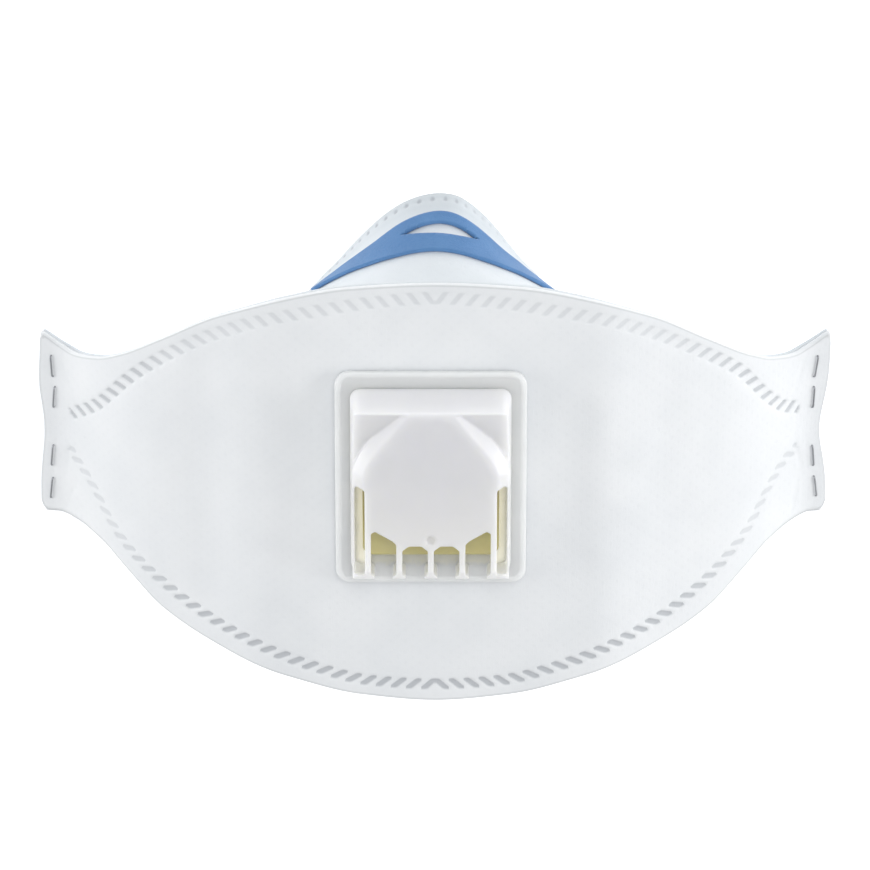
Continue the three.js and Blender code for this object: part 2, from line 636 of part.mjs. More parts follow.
function headband(route, staples) {
  const middle = tableCurve(route, 'x', 'y');
  const columns = bothSides([0, 12, 24, 34, 44, 54, 62, 66, 69, 72, 75, 78, 80, 82, 84, BAND_END]);
  const grid = (up) => columns.map((x) => {
    const y = middle(Math.abs(x));
    return range(y - BAND_WIDTH / 2, y + BAND_WIDTH / 2, 2).map((at) => bandPoint(x, at, up));
  });
  return cutForLegs(gridSolid(grid(BAND_THICKNESS), grid(0)), staples);
}

// ---- staples ------------------------------------------------------------------------------

// Where a staple sits: the middle of its crown on the ear, with z along the ear's normal.
function staplePlace(staple) {
  const place = new THREE.Object3D();
  const x = staple.side * staple.x;
  place.position.copy(layerPoint(x, staple.y, 0));
  const normal = frontNormal(x);
  place.rotation.set(0, Math.atan2(normal.x, normal.z), THREE.MathUtils.degToRad(staple.turn));
  place.updateMatrix();
  return place;
}

// A flat wire bent to a C, in its own frame: crown along y, legs down, ends turned in.
function stapleGeometry() {
  const half = STAPLE.crown / 2;
  const { wire, clinch } = STAPLE;
  const top = GAP + wire;
  const low = -(BAND_LAYER + BAND_THICKNESS + GAP + wire);
  const outline = [
    [-half, top], [-half, low], [-half + clinch, low], [-half + clinch, low + wire],
    [-half + wire, low + wire], [-half + wire, top - wire], [half - wire, top - wire],
    [half - wire, low + wire], [half - clinch, low + wire], [half - clinch, low],
    [half, low], [half, top],
  ];
  const shape = new THREE.Shape(outline.map(([y, z]) => new THREE.Vector2(y, z)));
  const geometry = new THREE.ExtrudeGeometry(shape, { depth: wire, bevelEnabled: false });
  geometry.translate(0, 0, -wire / 2);
  geometry.rotateX(Math.PI / 2);
  geometry.rotateZ(Math.PI / 2);
  return geometry;
}

// Clearance holes for both legs of each staple.
function cutForLegs(cloth, staples) {
  let result = cloth;
  for (const staple of staples) {
    const place = staplePlace(staple);
    for (const leg of [-1, 1]) {
      const hole = new THREE.BoxGeometry(LEG_HOLE, LEG_HOLE, 14);
      hole.translate(0, (leg * (STAPLE.crown - STAPLE.wire)) / 2, 0);
      hole.applyMatrix4(place.matrix);
      result = result.subtract(toSolid(hole));
    }
  }
  return result;
}

// ---- the mask -----------------------------------------------------------------------------

const CLOTH = new THREE.MeshStandardMaterial({ color: 0xf1f3f5, roughness: 0.95 });
const CLIP = new THREE.MeshStandardMaterial({ color: 0x5a8fd0, roughness: 0.6 });
const FLANGE_PLASTIC = new THREE.MeshStandardMaterial({ color: 0xe6e9ea, roughness: 0.4 });
const COVER_PLASTIC = new THREE.MeshStandardMaterial({ color: 0xf4f4f0, roughness: 0.35 });
const FLAP_RUBBER = new THREE.MeshStandardMaterial({ color: 0xc99a3a, roughness: 0.5 });
const ELASTIC = new THREE.MeshStandardMaterial({ color: 0x6d9fd6, roughness: 0.9 });
const STEEL = new THREE.MeshStandardMaterial({ color: 0xb9bcc0, roughness: 0.35, metalness: 1 });

const mask = new THREE.Group();

function addPiece(name, geometry, material) {
  const mesh = new THREE.Mesh(geometry, material);
  mesh.name = name;
  mask.add(mesh);
  return mesh;
}

addPiece('center_panel', toGeometry(centerPanel()), CLOTH);
addPiece('nose_panel', toGeometry(nosePanel()), CLOTH);
addPiece('chin_panel', toGeometry(chinPanel()), CLOTH);
addPiece('nose_clip', toGeometry(noseClip()), CLIP);
addPiece('valve_base', toGeometry(valveBase()), FLANGE_PLASTIC);
addPiece('valve_flap', toGeometry(valveFlap()), FLAP_RUBBER);
addPiece('valve_cover', toGeometry(valveCover()), COVER_PLASTIC);
const upperStaples = STAPLES.filter((staple) => staple.y > 0);
const lowerStaples = STAPLES.filter((staple) => staple.y < 0);
addPiece('headband_upper', toGeometry(headband(UPPER_ROUTE, upperStaples)), ELASTIC);
addPiece('headband_lower', toGeometry(headband(LOWER_ROUTE, lowerStaples)), ELASTIC);
for (const staple of STAPLES) {
  const sideName = staple.side < 0 ? 'left' : 'right';
  const mesh = addPiece(`staple_${sideName}_${staple.name}`, stapleGeometry(), STEEL);
  const place = staplePlace(staple);
  mesh.position.copy(place.position);
  mesh.rotation.copy(place.rotation);
}

// Move the origin to the middle of the footprint, on the surface that the mask rests on.
mask.updateMatrixWorld(true);
const bounds = new THREE.Box3().setFromObject(mask, true);
const center = bounds.getCenter(new THREE.Vector3());
mask.position.set(-center.x, -center.y, -bounds.min.z);

export default mask;
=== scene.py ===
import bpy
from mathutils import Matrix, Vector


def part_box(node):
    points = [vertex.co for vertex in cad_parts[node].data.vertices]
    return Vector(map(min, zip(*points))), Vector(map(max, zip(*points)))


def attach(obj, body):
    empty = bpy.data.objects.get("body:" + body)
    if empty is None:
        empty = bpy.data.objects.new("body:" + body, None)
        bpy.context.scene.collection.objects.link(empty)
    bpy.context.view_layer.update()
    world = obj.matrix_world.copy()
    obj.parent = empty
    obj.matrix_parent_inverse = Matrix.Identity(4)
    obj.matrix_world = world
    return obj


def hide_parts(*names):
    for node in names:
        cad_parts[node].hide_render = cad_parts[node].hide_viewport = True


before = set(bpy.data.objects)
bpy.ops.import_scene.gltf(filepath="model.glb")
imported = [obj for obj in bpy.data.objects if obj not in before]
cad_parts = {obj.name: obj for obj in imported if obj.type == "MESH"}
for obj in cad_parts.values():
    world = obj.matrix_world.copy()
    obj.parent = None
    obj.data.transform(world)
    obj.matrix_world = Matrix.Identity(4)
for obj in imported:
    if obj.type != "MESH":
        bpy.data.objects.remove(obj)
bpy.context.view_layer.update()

import math

import bpy
import numpy as np
from mathutils import Matrix, Vector

# Valved respirator mask, resting on its rim. The tables are in millimetres, in the frame that the
# CAD source is drawn in: X from ear to ear, +Y towards the nose, +Z out through the valve.
# to_frame() moves points from there to the frame's metres.

# ---- driving dimensions ----

WALL = 1.2
GAP = 0.3
SECOND_LAYER = WALL + GAP
SECOND_MIDDLE = SECOND_LAYER + WALL / 2
BAND_LAYER = SECOND_LAYER + WALL + GAP
BAND_THICKNESS = 0.9
BAND_WIDTH = 14.4
JOINED = 1.46                     # depth of the center panel's back where a layer lies under it
PRESSED = 0.35                    # what is left of the cloth's thickness under a weld mark

FRONT_PROFILE = [
    (0, 43.5), (19, 43.5), (34, 42.3), (50, 35.2), (66, 25.6), (74, 18.5), (79.5, 12.8),
    (83, 9.8), (88, 8.2),
]
TOP_EDGE = [
    (0, 46.2), (18, 45.3), (33, 42.2), (46, 36.9), (59, 28.9), (68.5, 22.8), (74, 20.0),
    (79.5, 18.8), (83, 19.7), (88, 22.2),
]
BOTTOM_EDGE = [
    (0, -50.5), (16, -49.1), (30, -45.8), (45, -41.3), (60, -34.4), (68, -27.7), (74, -22.9),
    (79.5, -20.6), (84, -19.9), (88, -20.1),
]
TOP_WELD = [
    (0, 43.2), (13, 42.2), (26, 40.0), (37, 37.3), (47, 32.6), (56, 26.9), (64, 20.4),
    (69, 15.2), (73, 10.3), (76, 7.2), (79, 4.6),
]
BOTTOM_WELD = [
    (0, -46.8), (14, -45.9), (26, -42.9), (38, -38.7), (50, -34.1), (60, -28.4), (67, -23.1),
    (72, -17.6), (76, -11.8), (79, -8.4),
]
NOSE_RIM = [
    (0, 55.5, 12.0), (5, 54.3, 11.8), (10, 50.6, 11.0), (14.6, 45.4, 10.0), (19.4, 39.2, 8.4),
    (24.2, 33.2, 6.4), (29.0, 27.4, 4.2), (35, 22.4, 1.8), (44, 19.4, 0.3), (52, 18.0, 0.1),
    (60, 15.8, 1.1), (68, 12.4, 2.4), (72, 10.0, 3.6), (75, 8.0, 5.3), (77.8, 5.5, 7.4),
]
CHIN_RIM = [
    (0, -52.0, 0.1), (15, -50.5, 0.1), (28, -46.0, 0.1), (40, -39.5, 0.1), (52, -31.0, 0.5),
    (62, -23.8, 1.5), (68, -19.0, 2.5), (72, -15.5, 3.7), (75, -12.6, 5.3), (77.8, -9.3, 7.4),
]
EAR_X = 88
EAR_WAIST = {"inset": 1.3, "height": 9}                  # both ears, between their corners
LEFT_EAR = {"inset": 0.9, "from": 8, "to": 21}           # and the left ear's upper half
RIGHT_EAR = {"inset": 0.75, "waist": 0.65, "height": 8}  # and the whole of the right ear
EAR_CORNER = {"inset": 1.3, "length": 2.6, "upper": 0.25}     # rounding: less at the upper corners
EAR_SPLIT = {"x": 82.5, "nose": 0.0, "chin": -0.6}       # where the side panels meet behind an ear
PUCKERS = [                       # side, y, x, lean: where the ears are pressed flat
    (-1, 13, 81, 0.5), (-1, -6, 81.5, -0.1), (1, 14, 80.5, 0.35),
    (1, -6.5, 81, -0.3), (-1, -14, 80.5, -0.4), (1, -15, 80, 0.2),
]
PUCKER = {"depth": 0.16, "width": 0.55, "length": 3.2}
DIMPLE = {"depth": 0.12, "width": 0.9}        # at each staple leg
FRONT_FOLDS = [                   # height, x, spread in x, y, spread in y
    (-0.55, -49, 5.5, 4, 38), (0.35, -62, 7, 2, 30), (-0.35, 29, 5, 0, 34),
]
WELD_END = 79
NOSE_BULGE = -0.8
CHIN_BULGE = 2.5
FLANK_LEAN = {"shift": -1.15, "x": 23, "spread": 11}     # the nose's free edge leans sideways
TIP_LEAN = {"shift": 1.0, "x": 0.5, "spread": 6}
FOLD_RADIUS = 1.6                 # of the turn from a side panel's flange into its wall
FOLD_OVERLAP = 1.2
WALL_JOIN = 0.08                  # share of a wall's grid that is tucked behind the seam
WALL_FOLD = 0.3                   # and share of it up to the end of the turn
WALL_END = 0.985
HEM_PITCH = 2.6                   # weld spots along the nose panel's free edge
HEM_UP = 1.6
HEM_END = 50

CLIP_OUTLINE = [
    (0, 5.9, 17.3), (8, 6.9, 16.8), (16, 8.5, 15.3), (22, 8.7, 13.6), (28, 9.0, 12.0),
    (32.5, 9.6, 11.0), (34.5, 10.0, 10.6),
]
CLIP_SHIFT = 1.2
CLIP_THICKNESS = 0.7
CLIP_UNDERSIDE = 0.12             # its height over the cloth
CLIP_EYE = {"half_length": 8.9, "half_height": 1.75, "middle": 10.7}

VALVE_X = -0.9
VALVE_Y = 2.8
VALVE_FOOT = (22, 25.5, 4)        # half of each side, and the corners' radius
NECK_HOLE = (13.8, 14.8, 3.0)
COVER_INSIDE = (16.6, 20.2, 2.0)
SLOT_STRIP = {"inner": (13.2, 13.8), "outer": (16.9, 15.2)}   # how the painted glow below a slot fades off in x
FLANGE_TOP = 45.2
SEAT_HEIGHT = 1.2
FLAP = {"width": 29, "length": 32.4, "y": -0.7, "thickness": 0.5, "arch": 0.8, "corner": 2.0}
FLAP_RIM = 0.12                   # how much thicker the flap is along its edge

UPPER_ROUTE = [
    (0, 15.5), (30, 12.4), (45, 8.8), (60, 5.6), (72, 4.6), (80, 8.6), (84, 10.9), (86.5, 11.1),
]
LOWER_ROUTE = [
    (0, -17.5), (30, -14.4), (45, -12.2), (60, -11.2), (72, -11.3), (80, -10.9), (84, -10.5),
    (86.5, -10.5),
]
BAND_LANDING = 66                 # where a band leaves the surface
BAND_EAR = 82                     # where it joins the ear
BAND_END = {"left": 86.5, "right": 85.3}
BAND_RIB = {"height": 0.11, "pitch": 1.2}
BAND_EDGE = {"pinch": 0.08, "width": 0.9}

STAPLES = [                       # side, name, x, y, turn in degrees
    (-1, "left_upper_1", 84.5, 14.7, 3), (-1, "left_upper_2", 84.2, 7.4, -5),
    (-1, "left_lower_1", 85.0, -6.6, -6), (-1, "left_lower_2", 85.4, -14.5, -7),
    (1, "right_upper_1", 84.0, 14.7, -9), (1, "right_upper_2", 83.6, 7.5, -3),
    (1, "right_lower_1", 83.9, -6.5, 5), (1, "right_lower_2", 84.7, -14.0, 8),
]
STAPLE_CROWN = 5.3
STAPLE_WIRE = 0.4
STAPLE_CLINCH = 2.0               # how far an end is turned in, and how far it rises there
STAPLE_RISE = 0.35
STAPLE_SUNK = 0.12                # its crown in the soft cloth
STAPLE_BEND = 0.55
STAPLE_FLATNESS = 0.44            # half of the wire's thickness, in widths
STAPLE_RING = 12                  # points around the wire

# Weld marks: slanting bars along both seams. Each side has its own line of marks.
MARK_LINES = {
    ("top", -1): [
        *TOP_WELD[:7], (67.4, 17.0), (70.7, 13.1), (73.7, 9.6), (77.5, 6.4), (80.6, 4.4),
    ],
    ("top", 1): [
        *TOP_WELD[:4], (47, 32.7), (56, 27.3), (62, 23.3), (66.7, 19.4), (69.6, 15.8),
        (72.3, 12.2), (75.1, 9.1), (77.5, 7.2), (80.6, 5.9),
    ],
    ("bottom", -1): [
        *BOTTOM_WELD[:7], (70.6, -19.2), (73.2, -15.2), (75.3, -11.4), (78, -7.8),
        (79.9, -5.6), (81.2, -3.8),
    ],
    ("bottom", 1): [
        *BOTTOM_WELD[:4], (50, -33.9), (60, -27.4), (66, -21.7), (69.8, -17.1),
        (72.3, -12.6), (74.8, -8.6), (77.4, -5.4), (80.4, -3.2),
    ],
}
WELD_PITCH = 3.3
WELD_START = 1.35                 # place of the first bar's middle, from the middle of the seam
WELD_REACH = {"top": 1.4, "bottom": 1.3}           # half of a bar's extent across the seam
WELD_HALF_WIDTH = {"top": 0.56, "bottom": 0.64}
WELD_SLANT = {"top": 56, "bottom": -43}
WELD_DENT = 0.3
WELD_SIDE = (-0.28, 0.22)         # where a dent's side starts and ends, from the mark's outline
SEAM_VALLEY = {"depth": 0.18, "width": 2.1}   # the cloth sinks a little along both seams
WELD_STRENGTH = {"top": (0.4, 1.0), "bottom": (1.0, 0.4)}     # in the middle, and at the ears
STRENGTH_SPAN = (52, 18)          # distances from a seam's outer end over which that changes
EDGE_SEAL = {"outer": 0.55, "inner": 0.12}    # a cut edge's pressed line, from the edge

WAVES = {                         # the cloth's unevenness: height, seed, length, number of waves
    "front": (0.16, 11, 34, 7), "front_fine": (0.07, 23, 13, 9), "front_skin": (0.05, 5, 7, 9),
    "nose": (0.12, 31, 16, 7), "nose_fine": (0.05, 37, 6, 7), "clip": (0.05, 61, 9, 7),
    "chin": (0.3, 43, 26, 7), "chin_fine": (0.08, 47, 8, 7),
}
WAVES_PEAK = 1.6                  # brings the sum of the waves to about 1 at its highest
ROUNDING = {                      # how far the sheets' edges swell
    "cloth": 0.22, "wall": 0.25, "clip": 0.18, "band": 0.15, "flap": 0.12,
}

# Grids: columns from ear to ear, and rows across. The front's rows lie closest along its seams.
CENTER_COLUMNS = 372
CENTER_ROWS = (13, 13, 54, 13, 13)
ROWS_REACH = 2.0                  # how far the close rows go on both sides of a seam
WALL_COLUMNS = 300
WALL_ROWS = {"tucked": 4, "turn": 12, "fall": 46}
FLANGE_ROWS = 14
CLIP_GRID = (190, 23)
BAND_GRID = (260, 57)
FLAP_GRID = (60, 66)


# ---- curves ----

def hermite(t, start, start_run, end, end_run):
    """A cubic from start to end that leaves and arrives with the given tangents."""
    return (
        (2 * t**3 - 3 * t**2 + 1) * start + (t**3 - 2 * t**2 + t) * start_run
        + (3 * t**2 - 2 * t**3) * end + (t**3 - t**2) * end_run
    )


def table_curve(rows):
    """A smooth curve through rows of (a, b) that never overshoots between two of them."""
    a, b = np.array(rows, float).T
    step = np.diff(a)
    slope = np.diff(b) / step
    tangent = np.zeros(len(a))
    tangent[-1] = slope[-1]
    for i in range(1, len(a) - 1):
        if slope[i - 1] * slope[i] > 0:
            before = 2 * step[i] + step[i - 1]
            after = step[i] + 2 * step[i - 1]
            tangent[i] = (before + after) / (before / slope[i - 1] + after / slope[i])

    def curve(value):
        value = np.asarray(value, float)
        i = np.clip(np.searchsorted(a, value, side="left") - 1, 0, len(step) - 1)
        t = (value - a[i]) / step[i]
        return hermite(t, b[i], step[i] * tangent[i], b[i + 1], step[i] * tangent[i + 1])

    return curve


PROFILE_END = 100.0
PROFILE_STEP = 0.1
PROFILE_SPREAD = 1.5
KERNEL_STEPS = 60


def softened(curve, spread):
    """The curve's table on an even grid, averaged over a few millimetres."""
    grid = np.arange(-PROFILE_END, PROFILE_END + PROFILE_STEP / 10, PROFILE_STEP)
    steps = np.arange(-KERNEL_STEPS, KERNEL_STEPS + 1)
    kernel = np.exp(-((steps * PROFILE_STEP / spread) ** 2) / 2)
    padded = np.pad(curve(np.abs(grid)), KERNEL_STEPS, mode="edge")
    return grid, np.convolve(padded, kernel / kernel.sum(), mode="valid")


PROFILE_X, PROFILE_Z = softened(table_curve(FRONT_PROFILE), PROFILE_SPREAD)
PROFILE_SLOPE = np.gradient(PROFILE_Z, PROFILE_X)
PROFILE_ARC = np.concatenate([[0], np.cumsum(np.hypot(np.diff(PROFILE_X), np.diff(PROFILE_Z)))])
PROFILE_ARC -= np.interp(0, PROFILE_X, PROFILE_ARC)

top_edge = table_curve(TOP_EDGE)
bottom_edge = table_curve(BOTTOM_EDGE)


def smoothstep(low, high, value):
    t = np.clip((value - low) / (high - low), 0, 1)
    return t * t * (3 - 2 * t)


def bump_at(value, middle, spread):
    return np.exp(-(((value - middle) / spread) ** 2))


def unit(vectors):
    return vectors / np.maximum(np.linalg.norm(vectors, axis=-1, keepdims=True), 1e-12)


def arc_of(x):
    """Distance along the cloth from the middle to x."""
    return np.interp(x, PROFILE_X, PROFILE_ARC)


def x_of_arc(arc):
    return np.interp(arc, PROFILE_ARC, PROFILE_X)


def front_normal(x):
    slope = np.interp(x, PROFILE_X, PROFILE_SLOPE)
    return unit(np.stack([-slope, np.zeros_like(slope), np.ones_like(slope)], -1))


def layer_point(x, y, depth):
    """Point at a depth below the center panel's outside."""
    x, y, depth = np.broadcast_arrays(*(np.asarray(v, float) for v in (x, y, depth)))
    outside = np.stack([x, y, np.interp(x, PROFILE_X, PROFILE_Z)], -1)
    return outside - front_normal(x) * depth[..., None]


def whole_curve(rows):
    """Evenly spaced points through a table's line, from the left end to the right end."""
    right = np.array([(*row, 0.0)[:3] for row in rows], float)
    left = right[1:][::-1] * (-1, 1, 1)
    points = np.concatenate([left, right])
    ends = np.concatenate([[2 * points[0] - points[1]], points, [2 * points[-1] - points[-2]]])
    dense = []
    for p0, p1, p2, p3 in zip(ends, ends[1:], ends[2:], ends[3:]):
        t = np.linspace(0, 1, 40, endpoint=False)[:, None]
        d0, d1, d2 = (np.linalg.norm(b - a) ** 0.5 for a, b in ((p0, p1), (p1, p2), (p2, p3)))
        m1 = ((p1 - p0) / d0 - (p2 - p0) / (d0 + d1) + (p2 - p1) / d1) * d1
        m2 = ((p2 - p1) / d1 - (p3 - p1) / (d1 + d2) + (p3 - p2) / d2) * d1
        dense.append(hermite(t, p1, m1, p2, m2))
    dense = np.concatenate(dense + [points[-1:]])
    length = np.concatenate([[0], np.cumsum(np.linalg.norm(np.diff(dense, axis=0), axis=1))])
    return length, dense


def along_curve(curve, u):
    """Points and directions on a whole curve, at u from -1 at its left end to 1."""
    length, dense = curve
    at = (np.clip(u, -1, 1) + 1) / 2 * length[-1]
    reach = 0.4
    point, before, after = (
        np.stack([np.interp(place, length, dense[:, k]) for k in range(3)], -1)
        for place in (at, at - reach, at + reach)
    )
    return point, unit(after - before)


def waves(name, x, y):
    """Smooth unevenness from the table of waves."""
    height, seed, length, count = WAVES[name]
    draw = np.random.default_rng(seed)
    total = np.zeros(np.broadcast(x, y).shape)
    for _ in range(count):
        angle = draw.uniform(0, math.pi)
        scale = 2 * math.pi / (length * draw.uniform(0.7, 1.6))
        phase = draw.uniform(0, 2 * math.pi)
        total = total + np.sin((x * math.cos(angle) + y * math.sin(angle)) * scale + phase)
    return height * (total / math.sqrt(count) / WAVES_PEAK)


# ---- meshes ----

SHIFT = np.array([
    0.0,
    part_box("center_panel")[1][1] * 1000 - TOP_EDGE[0][1],
    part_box("center_panel")[1][2] * 1000 - FRONT_PROFILE[0][1],
])


def to_frame(points):
    return (points + SHIFT) / 1000


def add_object(name, mesh):
    """Puts a mesh in the scene, shaded smooth."""
    mesh.polygons.foreach_set("use_smooth", [True] * len(mesh.polygons))
    mesh.update()
    obj = bpy.data.objects.new(name, mesh)
    bpy.context.scene.collection.objects.link(obj)
    return obj


def add_field(mesh, name, values):
    layer = mesh.attributes.new(name, "FLOAT_VECTOR", "POINT")
    layer.data.foreach_set("vector", np.ascontiguousarray(values, np.float32).ravel())


def make_object(name, points, faces, fields):
    """A mesh object from points in millimetres. fields holds a vector for each point."""
    mesh = bpy.data.meshes.new(name)
    placed = to_frame(points)
    placed[:, 2] = np.maximum(placed[:, 2], 0)
    mesh.from_pydata(placed.tolist(), [], faces.tolist())
    for field, values in fields.items():
        add_field(mesh, field, values)
    mesh.validate()
    return add_object(name, mesh)


def rounded_box(x, y, half_x, half_y, corner):
    """Signed distance to a rounded rectangle around the origin."""
    qx, qy = np.abs(x) - half_x + corner, np.abs(y) - half_y + corner
    outside = np.hypot(np.maximum(qx, 0), np.maximum(qy, 0))
    return outside + np.minimum(np.maximum(qx, qy), 0) - corner


def sheet_parts(top, bottom, puff, fields, kept=None):
    """Points, faces and fields of a closed sheet between two grids, with rounded edges.

    puff is how far its edges swell, and kept says which grid squares are there."""
    columns, rows = top.shape[:2]
    count = columns * rows
    index = np.arange(count).reshape(columns, rows)
    quads = np.stack([index[:-1, :-1], index[1:, :-1], index[1:, 1:], index[:-1, 1:]], -1)
    flat_top, flat_bottom = top.reshape(-1, 3), bottom.reshape(-1, 3)
    across = top[1:, :-1] - top[:-1, :-1]
    along = top[:-1, 1:] - top[:-1, :-1]
    outward = (top - bottom)[:-1, :-1]
    if (np.cross(across, along) * outward).sum() < 0:
        quads = quads[..., ::-1]
    quads = quads.reshape(-1, 4) if kept is None else quads[kept]
    edges = np.concatenate([quads[:, [k, (k + 1) % 4]] for k in range(4)])
    keys = edges[:, 0] * count + edges[:, 1]
    border = edges[~np.isin(keys, edges[:, 1] * count + edges[:, 0])]
    a, b = border[:, 0], border[:, 1]
    side = np.cross(flat_top[b] - flat_top[a], unit(flat_top - flat_bottom)[a])
    push = np.zeros_like(flat_top)
    np.add.at(push, a, side)
    np.add.at(push, b, side)
    middle = (flat_top + flat_bottom) / 2 + unit(push) * puff
    points = np.concatenate([flat_top, flat_bottom, middle])
    faces = np.concatenate([
        quads, quads[:, ::-1] + count,
        np.stack([b, a, a + 2 * count, b + 2 * count], -1),
        np.stack([b + 2 * count, a + 2 * count, a + count, b + count], -1),
    ])
    used, packed = np.unique(faces, return_inverse=True)
    kept_fields = {
        name: np.tile(values.reshape(-1, 3), (3, 1))[used] for name, values in fields.items()
    }
    return points[used], packed.reshape(faces.shape), kept_fields


def joined(parts):
    """Several sheets as the points, faces and fields of one object."""
    offset, points, faces, fields = 0, [], [], {}
    for some_points, some_faces, some_fields in parts:
        points.append(some_points)
        faces.append(some_faces + offset)
        offset += len(some_points)
        for name, values in some_fields.items():
            fields.setdefault(name, []).append(values)
    return (
        np.concatenate(points), np.concatenate(faces),
        {name: np.concatenate(values) for name, values in fields.items()},
    )


def grid_normals(grid):
    across = np.gradient(grid, axis=0)
    along = np.gradient(grid, axis=1)
    return unit(np.cross(across, along))


def vectors(x, y, z=0.0):
    return np.stack(np.broadcast_arrays(x, y, np.asarray(z, float)), -1)


def middles(grid):
    """Values in the middles of a grid's squares."""
    return (grid[:-1, :-1] + grid[1:, 1:]) / 2


def border_corners(kept):
    """Which corners of a grid touch both a kept square and a cut one."""
    columns, rows = kept.shape
    touches = np.zeros((2, columns + 1, rows + 1), bool)
    for i, j in ((0, 0), (1, 0), (0, 1), (1, 1)):
        corner = (slice(i, columns + i), slice(j, rows + j))
        touches[0][corner] |= kept
        touches[1][corner] |= ~kept
    return touches[0] & touches[1]


# ---- weld marks ----

class Seam:
    """A welded line laid out flat: places on the cloth become distances along and across it."""

    SAMPLES = 700
    NEAR = 9                      # how far from the line, in y, the distances are worked out
    FAR = 50.0                    # what other places get instead
    BATCHES = 40

    def __init__(self, name, side):
        rows = MARK_LINES[name, side]
        x = np.linspace(0, rows[-1][0], self.SAMPLES)
        self.name, self.side = name, side
        self.flat = np.stack([arc_of(x), table_curve(rows)(x)], -1)
        steps = np.linalg.norm(np.diff(self.flat, axis=0), axis=1)
        self.length = np.concatenate([[0], np.cumsum(steps)])
        self.outward = 1 if name == "top" else -1

    def place(self, arc, y):
        """Distance along the seam from its middle, and across it towards the cut edge."""
        spots = np.stack([np.abs(arc).ravel(), y.ravel()], -1)
        guess = np.interp(spots[:, 0], self.flat[:, 0], self.flat[:, 1])
        along = np.full(len(spots), -self.FAR)
        across = np.where(spots[:, 1] > guess, self.FAR, -self.FAR) * self.outward
        close = np.abs(spots[:, 1] - guess) < self.NEAR
        near = np.nonzero(close & (arc.ravel() * self.side >= 0))[0]
        for some in np.array_split(near, self.BATCHES):
            gap = np.linalg.norm(spots[some, None] - self.flat[None], axis=-1)
            best = np.clip(gap.argmin(1), 1, len(self.flat) - 2)
            run = unit(self.flat[best + 1] - self.flat[best - 1])
            offset = spots[some] - self.flat[best]
            along[some] = self.length[best] + (offset * run).sum(1)
            across[some] = (offset[:, 1] * run[:, 0] - offset[:, 0] * run[:, 1]) * self.outward
        return along.reshape(arc.shape), across.reshape(arc.shape)

    def marks(self, along, across):
        """How far inside a weld mark each place is, in millimetres, negative outside."""
        shifted = along - WELD_START + WELD_PITCH / 2
        local = np.mod(shifted, WELD_PITCH) - WELD_PITCH / 2
        slant = math.radians(WELD_SLANT[self.name])
        lean = -local * math.sin(slant) + across * self.outward * math.cos(slant)
        outside = np.maximum(
            np.abs(across) - WELD_REACH[self.name], np.abs(lean) - WELD_HALF_WIDTH[self.name])
        past_ends = (along < 0) | (along > self.length[-1])
        return np.where(past_ends, -self.FAR, -outside)

    def strength(self, along):
        """How clear the marks are, and 0 past the seam's ends."""
        middle, ears = WELD_STRENGTH[self.name]
        start, end = (self.length[-1] - span for span in STRENGTH_SPAN)
        changing = middle + (ears - middle) * smoothstep(start, end, along)
        return changing * ((along > -5) & (along < self.length[-1]))


SEAMS = [Seam(name, side) for name, side in MARK_LINES]


# ---- center panel ----

def waisted(x, y):
    """Draws in the ears' outer edges: both a little uneven, with a waist and rounded corners."""
    distance = np.abs(x)
    reach = smoothstep(WELD_END, EAR_X, distance)
    waist = EAR_WAIST["inset"] * bump_at(y, 0, EAR_WAIST["height"])
    left = LEFT_EAR["inset"] * smoothstep(LEFT_EAR["from"], LEFT_EAR["to"], y)
    right = RIGHT_EAR["inset"] + RIGHT_EAR["waist"] * bump_at(y, 0, RIGHT_EAR["height"])
    high = smoothstep(-EAR_CORNER["length"], 0, y - top_edge(distance))
    low = smoothstep(-EAR_CORNER["length"], 0, bottom_edge(distance) - y)
    corner = EAR_CORNER["inset"] * (EAR_CORNER["upper"] * high**2 + low**2) * reach
    return x - np.sign(x) * reach * (waist + np.where(x > 0, right, left) + corner)


def mark_line(name, x, ear_y):
    """The line of marks carried on across the ear, to steer the rows of the grid."""
    left, right = (table_curve([*MARK_LINES[name, side], (EAR_X, ear_y)]) for side in (-1, 1))
    return np.where(x < 0, left(np.abs(x)), right(np.abs(x)))


def center_rows(x):
    """Rows of y for each column: close together along both seams."""
    distance = np.abs(x)
    low, high = bottom_edge(distance), top_edge(distance)
    low_seam = mark_line("bottom", x, -3.0)
    high_seam = mark_line("top", x, 4.0)
    stops = [
        low, low_seam - ROWS_REACH, low_seam + ROWS_REACH,
        high_seam - ROWS_REACH, high_seam + ROWS_REACH, high,
    ]
    rows = [low[:, None]]
    for start, end, count in zip(stops, stops[1:], CENTER_ROWS):
        t = np.arange(1, count + 1) / count
        rows.append(start[:, None] + (end - start)[:, None] * t)
    return np.concatenate(rows, axis=1)


def cloth_unevenness(x, y):
    """How far the soft center panel stands above its even curve."""
    distance = np.abs(x)
    off_valve = rounded_box(x - VALVE_X, y - VALVE_Y, *VALVE_FOOT)
    beside_valve = 1 - np.exp(-np.maximum(off_valve, 0) / 4)
    off_top = smoothstep(1.5, 9, top_edge(distance) - y)
    off_bottom = smoothstep(2, 10, y - bottom_edge(distance))
    loose = beside_valve * (off_top * off_bottom) * smoothstep(84, 74, distance)
    height = waves("front", x, y * 0.6) + waves("front_fine", x, y)
    for fold, at_x, x_spread, at_y, y_spread in FRONT_FOLDS:
        height = height + fold * bump_at(x, at_x, x_spread) * bump_at(y, at_y, y_spread)
    return loose * height


